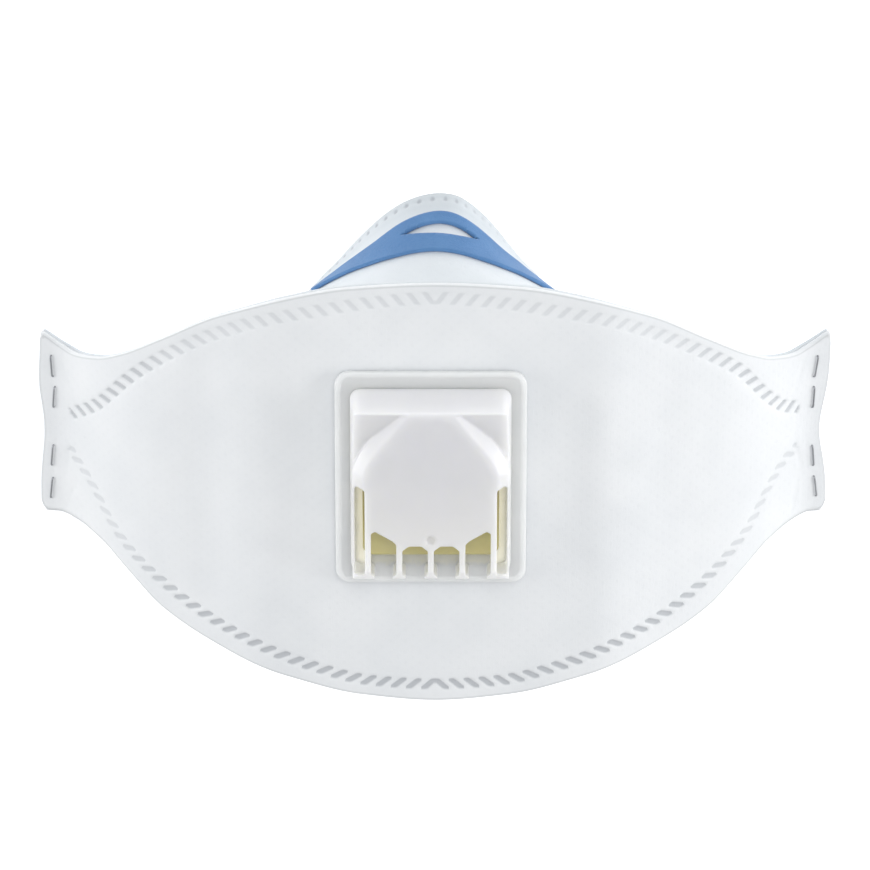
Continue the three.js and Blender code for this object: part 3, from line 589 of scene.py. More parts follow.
def ear_creases(x, y):
    """Small puckers where the ears are pressed flat, and dimples at the staples' legs."""
    creases = 0.0
    for side, at_y, at_x, lean in PUCKERS:
        line = (x * side - at_x) - (y - at_y) * lean
        pucker = bump_at(line, 0, PUCKER["width"]) * bump_at(y, at_y, PUCKER["length"])
        creases = creases - PUCKER["depth"] * pucker * (x * side > 0)
    for side, _, at_x, at_y, _ in STAPLES:
        for leg in (-1, 1):
            gap = np.hypot(x * side - at_x, y - at_y - leg * STAPLE_CROWN / 2)
            creases = creases - DIMPLE["depth"] * bump_at(gap, 0, DIMPLE["width"]) * (x * side > 0)
    return creases


def snapped_to_hole(points_x, points_y, border):
    """Moves the corners around the valve's hole onto its rounded outline."""
    x, y = points_x - VALVE_X, points_y - VALVE_Y
    half_x, half_y, corner = NECK_HOLE
    core_x = np.clip(x, corner - half_x, half_x - corner)
    core_y = np.clip(y, corner - half_y, half_y - corner)
    for _ in range(4):
        gap = rounded_box(x, y, *NECK_HOLE)
        away = unit(np.stack([x - core_x, y - core_y], -1))
        x = np.where(border, x - away[..., 0] * gap, x)
        y = np.where(border, y - away[..., 1] * gap, y)
    return x + VALVE_X, y + VALVE_Y


def inner_edge(name, weld_rows, inset):
    """The y where a side panel's flange ends, behind the center panel and behind an ear."""
    sign = np.sign(weld_rows[0][1])
    rows = [(x, y - sign * inset) for x, y in weld_rows]
    return table_curve([*rows, (EAR_SPLIT["x"], EAR_SPLIT[name]), (EAR_X, EAR_SPLIT[name])])


def overlap_share(x, y):
    """1 where a side panel lies behind the center panel, 0 where none does."""
    distance = np.abs(x)
    past_top = y - inner_edge("nose", TOP_WELD, 0)(distance)
    past_bottom = inner_edge("chin", BOTTOM_WELD, 0)(distance) - y
    return smoothstep(-1.0, 0.6, np.maximum(past_top, past_bottom))


def panel_welds(flat, x, y):
    """How deep the weld marks' dents are, and the field that the material draws the marks from."""
    dents = np.zeros(y.shape)
    field = np.zeros((*y.shape, 3))
    for seam in SEAMS:
        along, across = seam.place(flat, y)
        strength = seam.strength(along)
        dents += WELD_DENT * strength * smoothstep(*WELD_SIDE, seam.marks(along, across))
        valley = SEAM_VALLEY["depth"] * bump_at(across, 0, SEAM_VALLEY["width"]) * (along >= 0)
        dents += valley * smoothstep(seam.length[-1] + 2, seam.length[-1] - 3, along)
        quarter = (x * seam.side >= 0) & (y * seam.outward > 0)
        values = vectors(along, across * seam.outward, strength * seam.outward)
        field[quarter] = values[quarter]
    return dents, field


def make_center_panel():
    arc = np.linspace(-arc_of(EAR_X), arc_of(EAR_X), CENTER_COLUMNS)
    x = x_of_arc(arc)[:, None]
    y = center_rows(x[:, 0])
    x = np.broadcast_to(x, y.shape)
    kept = rounded_box(middles(x) - VALVE_X, middles(y) - VALVE_Y, *NECK_HOLE) > 0
    x, y = snapped_to_hole(x, y, border_corners(kept))
    flat = np.broadcast_to(arc_of(x), y.shape)
    dents, weld = panel_welds(flat, x, y)
    overlap = overlap_share(x, y)
    height = cloth_unevenness(x, y) + ear_creases(x, y)
    height += waves("front_skin", x, y) * (1 - overlap)
    place_x = waisted(x, y)
    top = layer_point(place_x, y, dents - height)
    back = WALL + (JOINED - WALL) * overlap - height * (1 - overlap)
    bottom = layer_point(place_x, y, np.maximum(back, PRESSED + dents))
    distance = np.abs(x)
    from_edge = np.minimum.reduce([
        top_edge(distance) - y, y - bottom_edge(distance), EAR_X - distance,
    ])
    fields = {"cloth": vectors(flat, y, from_edge), "weld": weld}
    return make_object("front_cloth", *sheet_parts(top, bottom, ROUNDING["cloth"], fields, kept))


# ---- nose and chin panels ----

def nose_skew(rim_x):
    """The nose leans a little: its tip to the right and its flanks to the left."""
    flanks = FLANK_LEAN["shift"] * bump_at(np.abs(rim_x), FLANK_LEAN["x"], FLANK_LEAN["spread"])
    return flanks + TIP_LEAN["shift"] * bump_at(rim_x, TIP_LEAN["x"], TIP_LEAN["spread"])


def wall_surface(weld_rows, rim_rows, bulge):
    """The middle surface of a panel's wall, from inside its flange to the rim."""
    weld = whole_curve(weld_rows)
    rim = whole_curve(rim_rows)
    outward = np.sign(weld_rows[0][1])

    def surface(u, t):
        at, run = along_curve(weld, u)
        edge, _ = along_curve(rim, u)
        across = np.stack([run[..., 1] * outward, -run[..., 0] * outward], -1)

        def on_layer(reach):
            return layer_point(
                at[..., 0] + across[..., 0] * reach, at[..., 1] + across[..., 1] * reach,
                SECOND_MIDDLE)

        seam = on_layer(0)
        inward = unit(on_layer(0.5) - seam)
        length = np.linalg.norm(edge - seam, axis=-1)[..., None]
        drop = (edge - seam) / length
        radius = np.minimum(FOLD_RADIUS, 0.3 * length)
        corner = seam + inward * radius
        below = corner + drop * radius
        turn = np.clip((t - WALL_JOIN) / (WALL_FOLD - WALL_JOIN), 0, 1)[..., None]
        folded = (1 - turn) ** 2 * seam + 2 * turn * (1 - turn) * corner + turn**2 * below
        fall = np.clip((t - WALL_FOLD) / (1 - WALL_FOLD), 0, None)[..., None]
        out = np.concatenate([-across, np.zeros_like(across[..., :1])], -1)
        out = unit(out - drop * (out * drop).sum(-1, keepdims=True))
        wave = bulge * np.sin(np.pi * fall) * np.minimum(1, length / 30)
        walled = below + (edge - below) * fall + out * wave
        tucked = on_layer(-FOLD_OVERLAP * (1 - np.minimum(t, WALL_JOIN) / WALL_JOIN))
        result = np.where((t < WALL_JOIN)[..., None], tucked, folded)
        return np.where((t > WALL_FOLD)[..., None], walled, result)

    return surface


NOSE_RIM_CURVE = whole_curve(NOSE_RIM)
HALF_NOSE_RIM = NOSE_RIM_CURVE[0][-1] / 2
HALF_CHIN_RIM = whole_curve(CHIN_RIM)[0][-1] / 2
nose_base = wall_surface(TOP_WELD, NOSE_RIM, NOSE_BULGE)
chin_surface = wall_surface(BOTTOM_WELD, CHIN_RIM, CHIN_BULGE)


def fall_share(t):
    """How far down the wall t is: 0 at the end of its turn, 1 at the rim."""
    return np.clip((t - WALL_FOLD) / (1 - WALL_FOLD), 0, 1)


def nose_surface(u, t):
    """The nose panel's middle surface, with the lean of its free edge."""
    point = nose_base(u, t)
    edge, _ = along_curve(NOSE_RIM_CURVE, u)
    point[..., 0] += nose_skew(edge[..., 0]) * fall_share(t)**1.5
    return point


def on_nose(along, up, height):
    """A point at a height off the nose panel's outside, by its distances along and up from the rim."""
    u = along / HALF_NOSE_RIM
    rim, turn = (nose_base(u, np.full(u.shape, t)) for t in (1.0, WALL_FOLD))
    t = 1 - (up / np.linalg.norm(rim - turn, axis=-1)) * (1 - WALL_FOLD)
    du, dt = 0.01, 0.02
    across = nose_surface(u + du, t) - nose_surface(u - du, t)
    down = nose_surface(u, np.minimum(1, t + dt)) - nose_surface(u, t - dt)
    normal = unit(np.cross(across, down))
    normal = np.where(normal[..., 1:2] < 0, -normal, normal)
    return nose_surface(u, t) + normal * (WALL / 2 + height)[..., None]


def wall_steps():
    """Values of t: close together round the fold and at the rim."""
    tucked = np.linspace(0, WALL_JOIN, WALL_ROWS["tucked"], endpoint=False)
    turn = np.linspace(WALL_JOIN, WALL_FOLD, WALL_ROWS["turn"], endpoint=False)
    fall = np.linspace(0, 1, WALL_ROWS["fall"])
    fall = fall + 0.12 * np.sin(np.pi * fall) * fall
    return np.concatenate([tucked, turn, WALL_FOLD + (1 - WALL_FOLD) * fall / fall[-1]])


def make_wall(surface, half_length, flow):
    """A wall with thickness. flow gives its unevenness from u, the distances along and up, and fall."""
    u = np.linspace(-WALL_END, WALL_END, WALL_COLUMNS)[:, None]
    u, t = np.broadcast_arrays(u, wall_steps()[None])
    middle = surface(u, t)
    normal = grid_normals(middle)
    normal = normal * np.sign((normal * (middle - middle.mean((0, 1)))).sum())
    along = u * half_length
    steps = np.linalg.norm(np.diff(middle, axis=1), axis=-1)
    down = np.concatenate([np.zeros((len(u), 1)), np.cumsum(steps, axis=1)], axis=1)
    up = down[:, -1:] - down
    half = np.where(t < WALL_JOIN, WALL * (0.2 + 0.3 * t / WALL_JOIN), WALL / 2)
    height = flow(u, along, up, fall_share(t))
    outer = middle + normal * (half + height)[..., None]
    inner = middle - normal * (half - height * 0.8)[..., None]
    fields = {"cloth": vectors(along, up, up), "weld": vectors(along, up, 1.0)}
    return sheet_parts(outer, inner, ROUNDING["wall"], fields)


def layer_part(low, high, outer_edge):
    """The flat part of a side panel, between two edges: the seam allowance and half of both ears."""
    arc = np.linspace(-arc_of(EAR_X), arc_of(EAR_X), WALL_COLUMNS)[:, None]
    x = x_of_arc(arc)
    distance = np.abs(x)
    t = np.linspace(0, 1, FLANGE_ROWS)[None]
    y = low(distance) + (high(distance) - low(distance)) * t
    place = waisted(np.broadcast_to(x, y.shape), y)
    outer = layer_point(place, y, SECOND_LAYER)
    inner = layer_point(place, y, SECOND_LAYER + WALL)
    from_edge = np.minimum(np.abs(outer_edge(distance) - y), EAR_X - distance)
    flat = np.broadcast_to(arc, y.shape)
    fields = {"cloth": vectors(flat, y, from_edge), "weld": vectors(flat, y, 0.0)}
    return sheet_parts(outer, inner, ROUNDING["cloth"], fields)


def nose_flow(u, along, up, fall):
    free = smoothstep(0.0, 0.25, fall)
    soft = waves("nose", along, up) + waves("nose_fine", along, up)
    under_clip = smoothstep(50, 40, np.abs(along)) * smoothstep(2, 5, up) * smoothstep(21, 18, up)
    pinch = -0.25 * bump_at(np.abs(along), 52, 4) * bump_at(fall, 0.6, 0.4)
    loose = free * smoothstep(0.98, 0.9, np.abs(u))
    return (soft * (1 - under_clip) + pinch) * loose - hem_dents(along, up)


def hem_dents(along, up):
    """Small weld spots inside the nose panel's free edge."""
    local = np.mod(along, HEM_PITCH) - HEM_PITCH / 2
    gap = np.hypot(local, up - HEM_UP)
    groove = 0.06 * bump_at(up, HEM_UP, 0.8)
    spots = 0.16 * smoothstep(0.85, 0.35, gap)
    return (spots + groove) * smoothstep(HEM_END, HEM_END - 6, np.abs(along))


def chin_flow(u, along, up, fall):
    free = smoothstep(0.0, 0.3, fall) * smoothstep(0.98, 0.9, np.abs(u))
    sag = waves("chin", along, up * 0.5) + waves("chin_fine", along, up)
    return sag * free * smoothstep(1.0, 0.75, fall)


SEAM_INSET = 0.3                  # a flange reaches this far past its seam


def make_nose_panel():
    wall = make_wall(nose_surface, HALF_NOSE_RIM, nose_flow)
    flange = layer_part(inner_edge("nose", TOP_WELD, SEAM_INSET), top_edge, top_edge)
    return make_object("nose_cloth", *joined([wall, flange]))


def make_chin_panel():
    wall = make_wall(chin_surface, HALF_CHIN_RIM, chin_flow)
    flange = layer_part(bottom_edge, inner_edge("chin", BOTTOM_WELD, SEAM_INSET), bottom_edge)
    return make_object("chin_cloth", *joined([wall, flange]))


# ---- nose clip ----

def eye_half(along):
    """Half the height of the hole in the nose clip."""
    return CLIP_EYE["half_height"] * np.clip(1 - (along / CLIP_EYE["half_length"]) ** 2, 0, None)


def make_nose_clip():
    low = table_curve([(along, near) for along, near, _ in CLIP_OUTLINE])
    high = table_curve([(along, far) for along, _, far in CLIP_OUTLINE])
    end = CLIP_OUTLINE[-1][0]
    columns, rows = CLIP_GRID
    along = np.linspace(-end, end, columns)[:, None]
    reach = np.abs(along)
    up = low(reach) + (high(reach) - low(reach)) * np.linspace(0, 1, rows)[None]
    along = np.broadcast_to(along, up.shape)
    kept = np.abs(middles(up) - CLIP_EYE["middle"]) > eye_half(middles(along))
    rim = CLIP_EYE["middle"] + np.sign(up - CLIP_EYE["middle"]) * eye_half(along)
    up = np.where(border_corners(kept), rim, up)
    top = GAP + CLIP_THICKNESS + waves("clip", along, up)
    outer = on_nose(along + CLIP_SHIFT, up, top)
    inner = on_nose(along + CLIP_SHIFT, up, np.full(up.shape, CLIP_UNDERSIDE))
    parts = sheet_parts(outer, inner, ROUNDING["clip"], {"cloth": vectors(along, up)}, kept)
    return make_object("clip_strip", *parts)


# ---- headbands ----

def band_point(x, y, up):
    """A band lies on the surface, climbs near the ear, and then follows the ear's inside."""
    distance = np.abs(x)
    foot = layer_point(BAND_EAR, 0, BAND_LAYER + BAND_THICKNESS)
    place = distance / BAND_EAR * foot[0]
    climb = np.maximum(0, (place - BAND_LANDING) / (foot[0] - BAND_LANDING))
    tilt = front_normal(x)[..., 0] * smoothstep(0.6, 1, climb)
    height = foot[2] * climb**2
    lying = np.stack([np.sign(x) * place + tilt * up, y, height + up], -1)
    on_ear = layer_point(x, y, BAND_LAYER + BAND_THICKNESS - up)
    return np.where((distance >= BAND_EAR)[..., None], on_ear, lying)


def make_headband(name, route):
    columns, rows = BAND_GRID
    half = BAND_WIDTH / 2
    x = np.linspace(-BAND_END["left"], BAND_END["right"], columns)[:, None]
    x, across = np.broadcast_arrays(x, np.linspace(-half, half, rows)[None])
    y = table_curve(route)(np.abs(x)) + across
    rib = BAND_RIB["height"] * np.cos(across * 2 * math.pi / BAND_RIB["pitch"]) ** 2
    pinch = BAND_EDGE["pinch"] * smoothstep(half - BAND_EDGE["width"], half, np.abs(across))
    top = band_point(x, y, BAND_THICKNESS - BAND_RIB["height"] + rib - pinch)
    bottom = band_point(x, y, pinch)
    fields = {"cloth": vectors(arc_of(x), across)}
    return make_object(name, *sheet_parts(top, bottom, ROUNDING["band"], fields))


# ---- staples ----

def staple_place(x, y, turn):
    normal = front_normal(x)
    place = Matrix.Translation(Vector(to_frame(layer_point(x, y, 0)).tolist()))
    lean = Matrix.Rotation(math.atan2(normal[0], normal[2]), 4, "Y")
    return place @ lean @ Matrix.Rotation(math.radians(turn), 4, "Z")


def staple_path():
    """The wire's centre line in the staple's own frame: crown, legs, and ends turned in."""
    half = STAPLE_CROWN / 2 - STAPLE_WIRE / 2
    top = GAP + STAPLE_WIRE / 2 - STAPLE_SUNK
    low = -(BAND_LAYER + BAND_THICKNESS + GAP + STAPLE_WIRE / 2)
    end = half - STAPLE_CLINCH + STAPLE_WIRE
    right = [(half, top), (half, low), (end, low + STAPLE_RISE)]
    corners = np.array([(-x, z) for x, z in right[::-1]] + right)
    path = [corners[0]]
    for before, corner, after in zip(corners, corners[1:], corners[2:]):
        start = corner + unit(before - corner) * STAPLE_BEND
        stop = corner + unit(after - corner) * STAPLE_BEND
        for t in np.linspace(0, 1, 7):
            path.append((1 - t) ** 2 * start + 2 * t * (1 - t) * corner + t**2 * stop)
    path.append(corners[-1])
    return np.array(path)


def make_staple(name, x, y, turn):
    path = staple_path()
    run = unit(np.gradient(path, axis=0))
    ring = STAPLE_RING
    angles = np.arange(ring) * 2 * math.pi / ring
    points, faces = [], []
    for place, (along_x, along_z) in zip(path, run):
        for angle in angles:
            off = math.cos(angle) * STAPLE_WIRE * STAPLE_FLATNESS
            side = math.sin(angle) * STAPLE_WIRE * 0.5
            points.append((side, place[0] - along_z * off, place[1] + along_x * off))
    for first in range(0, (len(path) - 1) * ring, ring):
        for k in range(ring):
            a, b = first + k, first + (k + 1) % ring
            faces.append([a, b, b + ring, a + ring])
    faces.append(list(range(ring - 1, -1, -1)))
    faces.append([(len(path) - 1) * ring + k for k in range(ring)])
    mesh = bpy.data.meshes.new(name)
    place = staple_place(np.array(x), y, turn)
    mesh.from_pydata([place @ (Vector(point) / 1000) for point in points], [], faces)
    return add_object(name, mesh)


# ---- valve ----

def moulded(node, name, voxel, rounds, ratio):
    """A moulded version of a CAD solid: the same shape with softly rounded edges."""
    source = bpy.data.objects[node]
    mesh = source.data.copy()
    mesh.name = name
    obj = bpy.data.objects.new(name, mesh)
    bpy.context.scene.collection.objects.link(obj)
    obj.matrix_world = source.matrix_world.copy()
    mesh.materials.clear()
    remesh = obj.modifiers.new("Remesh", "REMESH")
    remesh.mode = "VOXEL"
    remesh.voxel_size = voxel / 1000
    smooth = obj.modifiers.new("Smooth", "SMOOTH")
    smooth.factor = 0.5
    smooth.iterations = rounds
    fewer = obj.modifiers.new("Fewer", "DECIMATE")
    fewer.ratio = ratio
    depsgraph = bpy.context.evaluated_depsgraph_get()
    made = bpy.data.meshes.new_from_object(obj.evaluated_get(depsgraph))
    obj.modifiers.clear()
    obj.data = made
    made.polygons.foreach_set("use_smooth", [True] * len(made.polygons))
    mark_inside(obj)
    return obj


def mark_inside(obj):
    """A field for the base's painted light: the part under the cover, where its colour is painted
    lighter and warmer, and there the strips below the slots, which are painted to glow.
    """
    mesh = obj.data
    local = np.empty(len(mesh.vertices) * 3)
    mesh.vertices.foreach_get("co", local)
    matrix = np.array(obj.matrix_world)
    placed = (local.reshape(-1, 3) @ matrix[:3, :3].T + matrix[:3, 3]) * 1000 - SHIFT
    x, y, z = (placed - (VALVE_X, VALVE_Y, 0)).T
    covered = smoothstep(0.1, -0.9, rounded_box(x, y, *COVER_INSIDE))
    off_middle = np.abs(x)
    strip = smoothstep(*SLOT_STRIP["inner"], off_middle)
    strip = strip * smoothstep(*SLOT_STRIP["outer"], off_middle)
    above_flange = z > FLANGE_TOP - 0.4
    add_field(mesh, "inside", vectors(covered, strip * above_flange * covered))


def make_flap():
    columns, rows = FLAP_GRID
    half_x, half_y = FLAP["width"] / 2, FLAP["length"] / 2
    x = np.linspace(-half_x, half_x, columns)[:, None]
    x, y = np.broadcast_arrays(x, np.linspace(-half_y, half_y, rows)[None])
    corner = rounded_box(x, y, half_x, half_y, FLAP["corner"])
    away = unit(np.stack([x, y], -1))
    x = x - np.maximum(corner, 0) * away[..., 0]
    y = y - np.maximum(corner, 0) * away[..., 1]
    arch = FLANGE_TOP + SEAT_HEIGHT + GAP + FLAP["arch"] * np.cos(math.pi * y / FLAP["length"])
    place_y = y + FLAP["y"] + VALVE_Y
    thickness = FLAP["thickness"] + FLAP_RIM * smoothstep(-1.4, -0.6, corner)
    outer = vectors(x + VALVE_X, place_y, arch + thickness)
    inner = vectors(x + VALVE_X, place_y, arch)
    fields = {"cloth": vectors(x, y)}
    return make_object("flap_sheet", *sheet_parts(outer, inner, ROUNDING["flap"], fields))


# ---- materials ----

class Nodes:
    """Short calls for building one material's node tree."""

    def __init__(self, name):
        self.material = bpy.data.materials.new(name)
        self.material.use_nodes = True
        self.tree = self.material.node_tree
        self.tree.nodes.clear()
        self.shader = self.add("ShaderNodeBsdfPrincipled")
        output = self.add("ShaderNodeOutputMaterial")
        self.link(self.shader.outputs["BSDF"], output.inputs["Surface"])
        self.object_coords = self.add("ShaderNodeTexCoord").outputs["Object"]

    def add(self, kind, **settings):
        node = self.tree.nodes.new(kind)
        for key, value in settings.items():
            setattr(node, key, value)
        return node

    def link(self, source, target):
        self.tree.links.new(source, target)

    def put(self, socket, value):
        if isinstance(value, bpy.types.NodeSocket):
            self.link(value, socket)
        else:
            socket.default_value = value

    def math(self, operation, a, b=0.0, c=0.0, clamp=False):
        node = self.add("ShaderNodeMath", operation=operation, use_clamp=clamp)
        for socket, value in zip(node.inputs, (a, b, c)):
            self.put(socket, value)
        return node.outputs[0]

    def times(self, a, b):
        return self.math("MULTIPLY", a, b)

    def line(self, value, slope, start, clamp=False):
        """value * slope + start"""
        return self.math("MULTIPLY_ADD", value, slope, start, clamp)

    def hypot(self, a, b):
        return self.math("SQRT", self.math("ADD", self.times(a, a), self.times(b, b)))

    def field(self, name):
        """The three parts of a field on the mesh."""
        node = self.add("ShaderNodeAttribute", attribute_name=name, attribute_type="GEOMETRY")
        parts = self.add("ShaderNodeSeparateXYZ")
        self.link(node.outputs["Vector"], parts.inputs[0])
        return parts.outputs

    def set(self, node, **values):
        """Sets a node's inputs, each named with _ for its spaces."""
        for name, value in values.items():
            self.put(node.inputs[name.replace("_", " ")], value)
        return node.outputs

    def noise(self, scale, detail, stretch=None, turn=(0, 0, 0), distortion=0.0):
        place = self.object_coords
        if stretch:
            mapping = self.add("ShaderNodeMapping")
            place = self.set(mapping, Vector=place, Scale=stretch, Rotation=turn)[0]
        node = self.add("ShaderNodeTexNoise")
        outputs = self.set(node, Vector=place, Scale=scale, Detail=detail, Distortion=distortion)
        return outputs["Fac"]

    def ramp(self, value, *stops):
        """A colour between two stops, each a position and a colour."""
        node = self.add("ShaderNodeValToRGB")
        for element, (position, colour) in zip(node.color_ramp.elements, stops):
            element.position = position
            element.color = (*colour, 1)
        self.link(value, node.inputs[0])
        return node.outputs[0]

    def mix(self, amount, a, b):
        node = self.add("ShaderNodeMix", data_type="RGBA")
        self.put(node.inputs[0], amount)
        for socket, value in ((node.inputs[6], a), (node.inputs[7], b)):
            self.put(socket, (*value, 1) if isinstance(value, tuple) else value)
        return node.outputs[2]

    def bump(self, height, distance, strength, normal=None):
        more = {"Normal": normal} if normal else {}
        node = self.add("ShaderNodeBump")
        return self.set(node, Distance=distance, Strength=strength, Height=height, **more)[0]

    def finish(self, **values):
        self.set(self.shader, **values)
        return self.material


DOT_PITCH = (3.3, 2.6)            # point bonds in the cloth: two such grids, half a pitch apart
DOT_RADIUS = 0.22


def emboss_dots(n, parts):
    """Point bonds: small pressed dots in a staggered pattern."""
    def lattice(shift):
        offsets = []
        for part, pitch in zip(parts, DOT_PITCH):
            offsets.append(n.times(off_whole(n, n.line(part, 1 / pitch, shift)), pitch))
        off_dot = n.times(n.math("SUBTRACT", n.hypot(*offsets), DOT_RADIUS), 2.6)
        return n.math("SUBTRACT", 1.0, off_dot, clamp=True)
    return n.math("MAXIMUM", lattice(0.0), lattice(0.5))


def off_whole(n, value):
    """Distance to the nearest whole number, with its sign."""
    return n.math("SUBTRACT", value, n.math("ROUND", value))


def weld_masks(n, parts):
    """The slanting weld bars of both seams, from the distances along and across each seam."""
    along, across, side = parts
    from_first = n.line(along, 1 / WELD_PITCH, -WELD_START / WELD_PITCH)
    local = n.times(off_whole(n, from_first), WELD_PITCH)
    masks = []
    for name, sign in (("top", 1.0), ("bottom", -1.0)):
        angle = math.radians(WELD_SLANT[name])
        lean = n.math("ADD", n.times(local, -math.sin(angle)), n.times(across, math.cos(angle)))
        wide = n.math("SUBTRACT", n.math("ABSOLUTE", lean), WELD_HALF_WIDTH[name])
        reach = n.math("SUBTRACT", n.math("ABSOLUTE", across), WELD_REACH[name])
        inside = n.line(n.math("SMOOTH_MAX", wide, reach, 0.6), -2.8, 0.4, clamp=True)
        masks.append(n.times(inside, n.math("MULTIPLY", side, sign, clamp=True)))
    return masks


def hem_mask(n, parts):
    """The small weld spots inside the nose panel's free edge: clearest on its left."""
    along, up, on_wall = parts
    local = n.times(off_whole(n, n.line(along, 1 / HEM_PITCH, 0.5)), HEM_PITCH)
    off_row = n.times(n.math("SUBTRACT", up, HEM_UP), 0.7)
    spot = n.line(n.hypot(local, off_row), -2.6, 1.5, clamp=True)
    within = n.line(n.math("ABSOLUTE", along), -0.2, HEM_END / 5, clamp=True)
    clear = n.line(n.line(along, -0.06, 0.75, clamp=True), 0.7, 0.3)
    return n.times(n.times(spot, clear), n.times(within, on_wall))


def fibres(n):
    """Fine crossing fibres, as a height from 0 to 1."""
    first = n.noise(900, 4, stretch=(3.2, 0.35, 0.8), turn=(0, 0, 0.5), distortion=0.6)
    second = n.noise(900, 4, stretch=(0.35, 3.2, 0.8), turn=(0, 0, 0.25), distortion=0.6)
    fine = n.noise(4200, 3)
    return n.math("ADD", n.math("MAXIMUM", first, second), n.times(fine, 0.5))


CLOTH = ((0.3, (0.775, 0.795, 0.815)), (0.7, (0.83, 0.845, 0.86)))
# The nose panel's cloth: the same cloth, darker by a painted shade.
SHADED_NOSE_CLOTH = ((0.3, (0.65, 0.69, 0.72)), (0.7, (0.71, 0.745, 0.775)))


def nonwoven(name, marks=None):
    """The cloth's material. marks is None, "seams", or the nose panel's value, which adds the weld
    spots along its free edge and a painted shade: a darker base colour and a darker band along that
    edge.
    """
    n = Nodes(name)
    cloth = n.field("cloth")
    threads = fibres(n)
    dots = emboss_dots(n, cloth)
    # the nose panel gets the darker copy of the cloth, a painted shade
    base = n.ramp(n.noise(60, 4), *(SHADED_NOSE_CLOTH if marks == "hem_and_shade" else CLOTH))
    base = n.mix(n.times(threads, 0.12), base, (0.9, 0.91, 0.92))
    base = n.mix(n.times(dots, 0.035), base, (0.55, 0.57, 0.6))
    before = n.line(cloth[2], -4.0, 4.0 * EDGE_SEAL["outer"], clamp=True)
    after = n.math("MULTIPLY", cloth[2], 1 / EDGE_SEAL["inner"], clamp=True)
    seal = n.times(before, after)
    base = n.mix(n.times(seal, 0.3), base, (0.42, 0.44, 0.44))
    normal = n.bump(n.line(dots, -0.35, threads), 0.00007, 0.55)
    pressed = seal
    if marks:
        weld = n.field("weld")
        if marks == "seams":
            top, bottom = weld_masks(n, weld)
            base = n.mix(n.times(top, 0.6), base, (0.40, 0.42, 0.45))
            base = n.mix(n.times(bottom, 0.68), base, (0.40, 0.42, 0.45))
            shape = n.math("MAXIMUM", top, bottom)
        else:
            # painted shade: the nose wall is painted darker in a band from its rim up to about 7.6 mm,
            # fading out from 3.6 mm
            border = n.times(n.line(weld[1], -0.25, 1.9, clamp=True), weld[2])
            base = n.mix(n.times(border, 0.5), base, (0.50, 0.545, 0.58))
            shape = hem_mask(n, weld)
            base = n.mix(n.times(shape, 0.7), base, (0.36, 0.38, 0.42))
        normal = n.bump(n.times(shape, -1.0), 0.00012, 0.6, normal)
        pressed = n.math("MAXIMUM", seal, shape)
    return n.finish(
        Base_Color=base, Roughness=n.line(pressed, -0.35, 0.92), Normal=normal,
        Sheen_Weight=0.12, Sheen_Roughness=0.6, Specular_IOR_Level=0.25,
        Subsurface_Weight=0.2, Subsurface_Radius=(1.0, 1.0, 1.0), Subsurface_Scale=0.0006)


PAINTED_SLOT_GLOW = 0.38                  # painted glow: emission on the flange beside the slots, standing in for light that the milky cover lets through


def cover_plastic():
    n = Nodes("cover_plastic_finish")
    clouds = n.noise(90, 3)
    grain = n.noise(5200, 2)
    flow = n.noise(240, 3, stretch=(1, 0.25, 1))
    return n.finish(
        Base_Color=n.ramp(clouds, (0.35, (0.91, 0.915, 0.905)), (0.65, (0.94, 0.94, 0.93))),
        Roughness=n.line(clouds, 0.12, 0.3),
        Normal=n.bump(n.math("ADD", n.times(grain, 0.3), flow), 0.00003, 0.35),
        Specular_IOR_Level=0.5,
        Subsurface_Weight=0.8, Subsurface_Radius=(1.0, 1.0, 0.85), Subsurface_Scale=0.005)


def flange_plastic():
    n = Nodes("flange_plastic_and_painted_light")
    base = n.ramp(n.noise(110, 3), (0.35, (0.79, 0.81, 0.815)), (0.65, (0.83, 0.845, 0.845)))
    # painted light: under the cover the base is painted lighter and warmer, and beside the slots it
    # glows, standing in for light through the milky cover
    inside = n.field("inside")
    grain = n.noise(4200, 2)
    return n.finish(
        Base_Color=n.mix(n.times(inside[0], 0.9), base, (0.97, 0.94, 0.76)),
        Roughness=n.line(grain, 0.12, 0.26), Normal=n.bump(grain, 0.00002, 0.4),
        Emission_Color=(1.0, 0.95, 0.76, 1), Emission_Strength=n.times(inside[1], PAINTED_SLOT_GLOW),
        Subsurface_Weight=0.85, Subsurface_Radius=(1.0, 1.0, 1.0), Subsurface_Scale=0.005)


def flap_rubber():
    n = Nodes("flap_rubber_finish")
    grain = n.noise(3600, 3)
    return n.finish(
        Base_Color=n.ramp(n.noise(150, 4), (0.3, (0.66, 0.59, 0.28)), (0.7, (0.74, 0.67, 0.36))),
        Roughness=n.line(grain, 0.2, 0.4), Normal=n.bump(grain, 0.00003, 0.5),
        Subsurface_Weight=0.3, Subsurface_Radius=(1.0, 0.8, 0.25), Subsurface_Scale=0.002)


def clip_foam():
    n = Nodes("clip_foam_finish")
    cells = n.add("ShaderNodeTexVoronoi", feature="F1")
    depth = n.set(cells, Vector=n.object_coords, Scale=2600)["Distance"]
    base = n.ramp(n.noise(130, 4), (0.3, (0.058, 0.172, 0.39)), (0.7, (0.078, 0.208, 0.44)))
    return n.finish(
        Base_Color=n.mix(n.times(n.noise(1500, 4), 0.22), base, (0.17, 0.35, 0.60)),
        Roughness=n.line(depth, 0.2, 0.6), Normal=n.bump(depth, 0.00008, 0.5), Sheen_Weight=0.15)


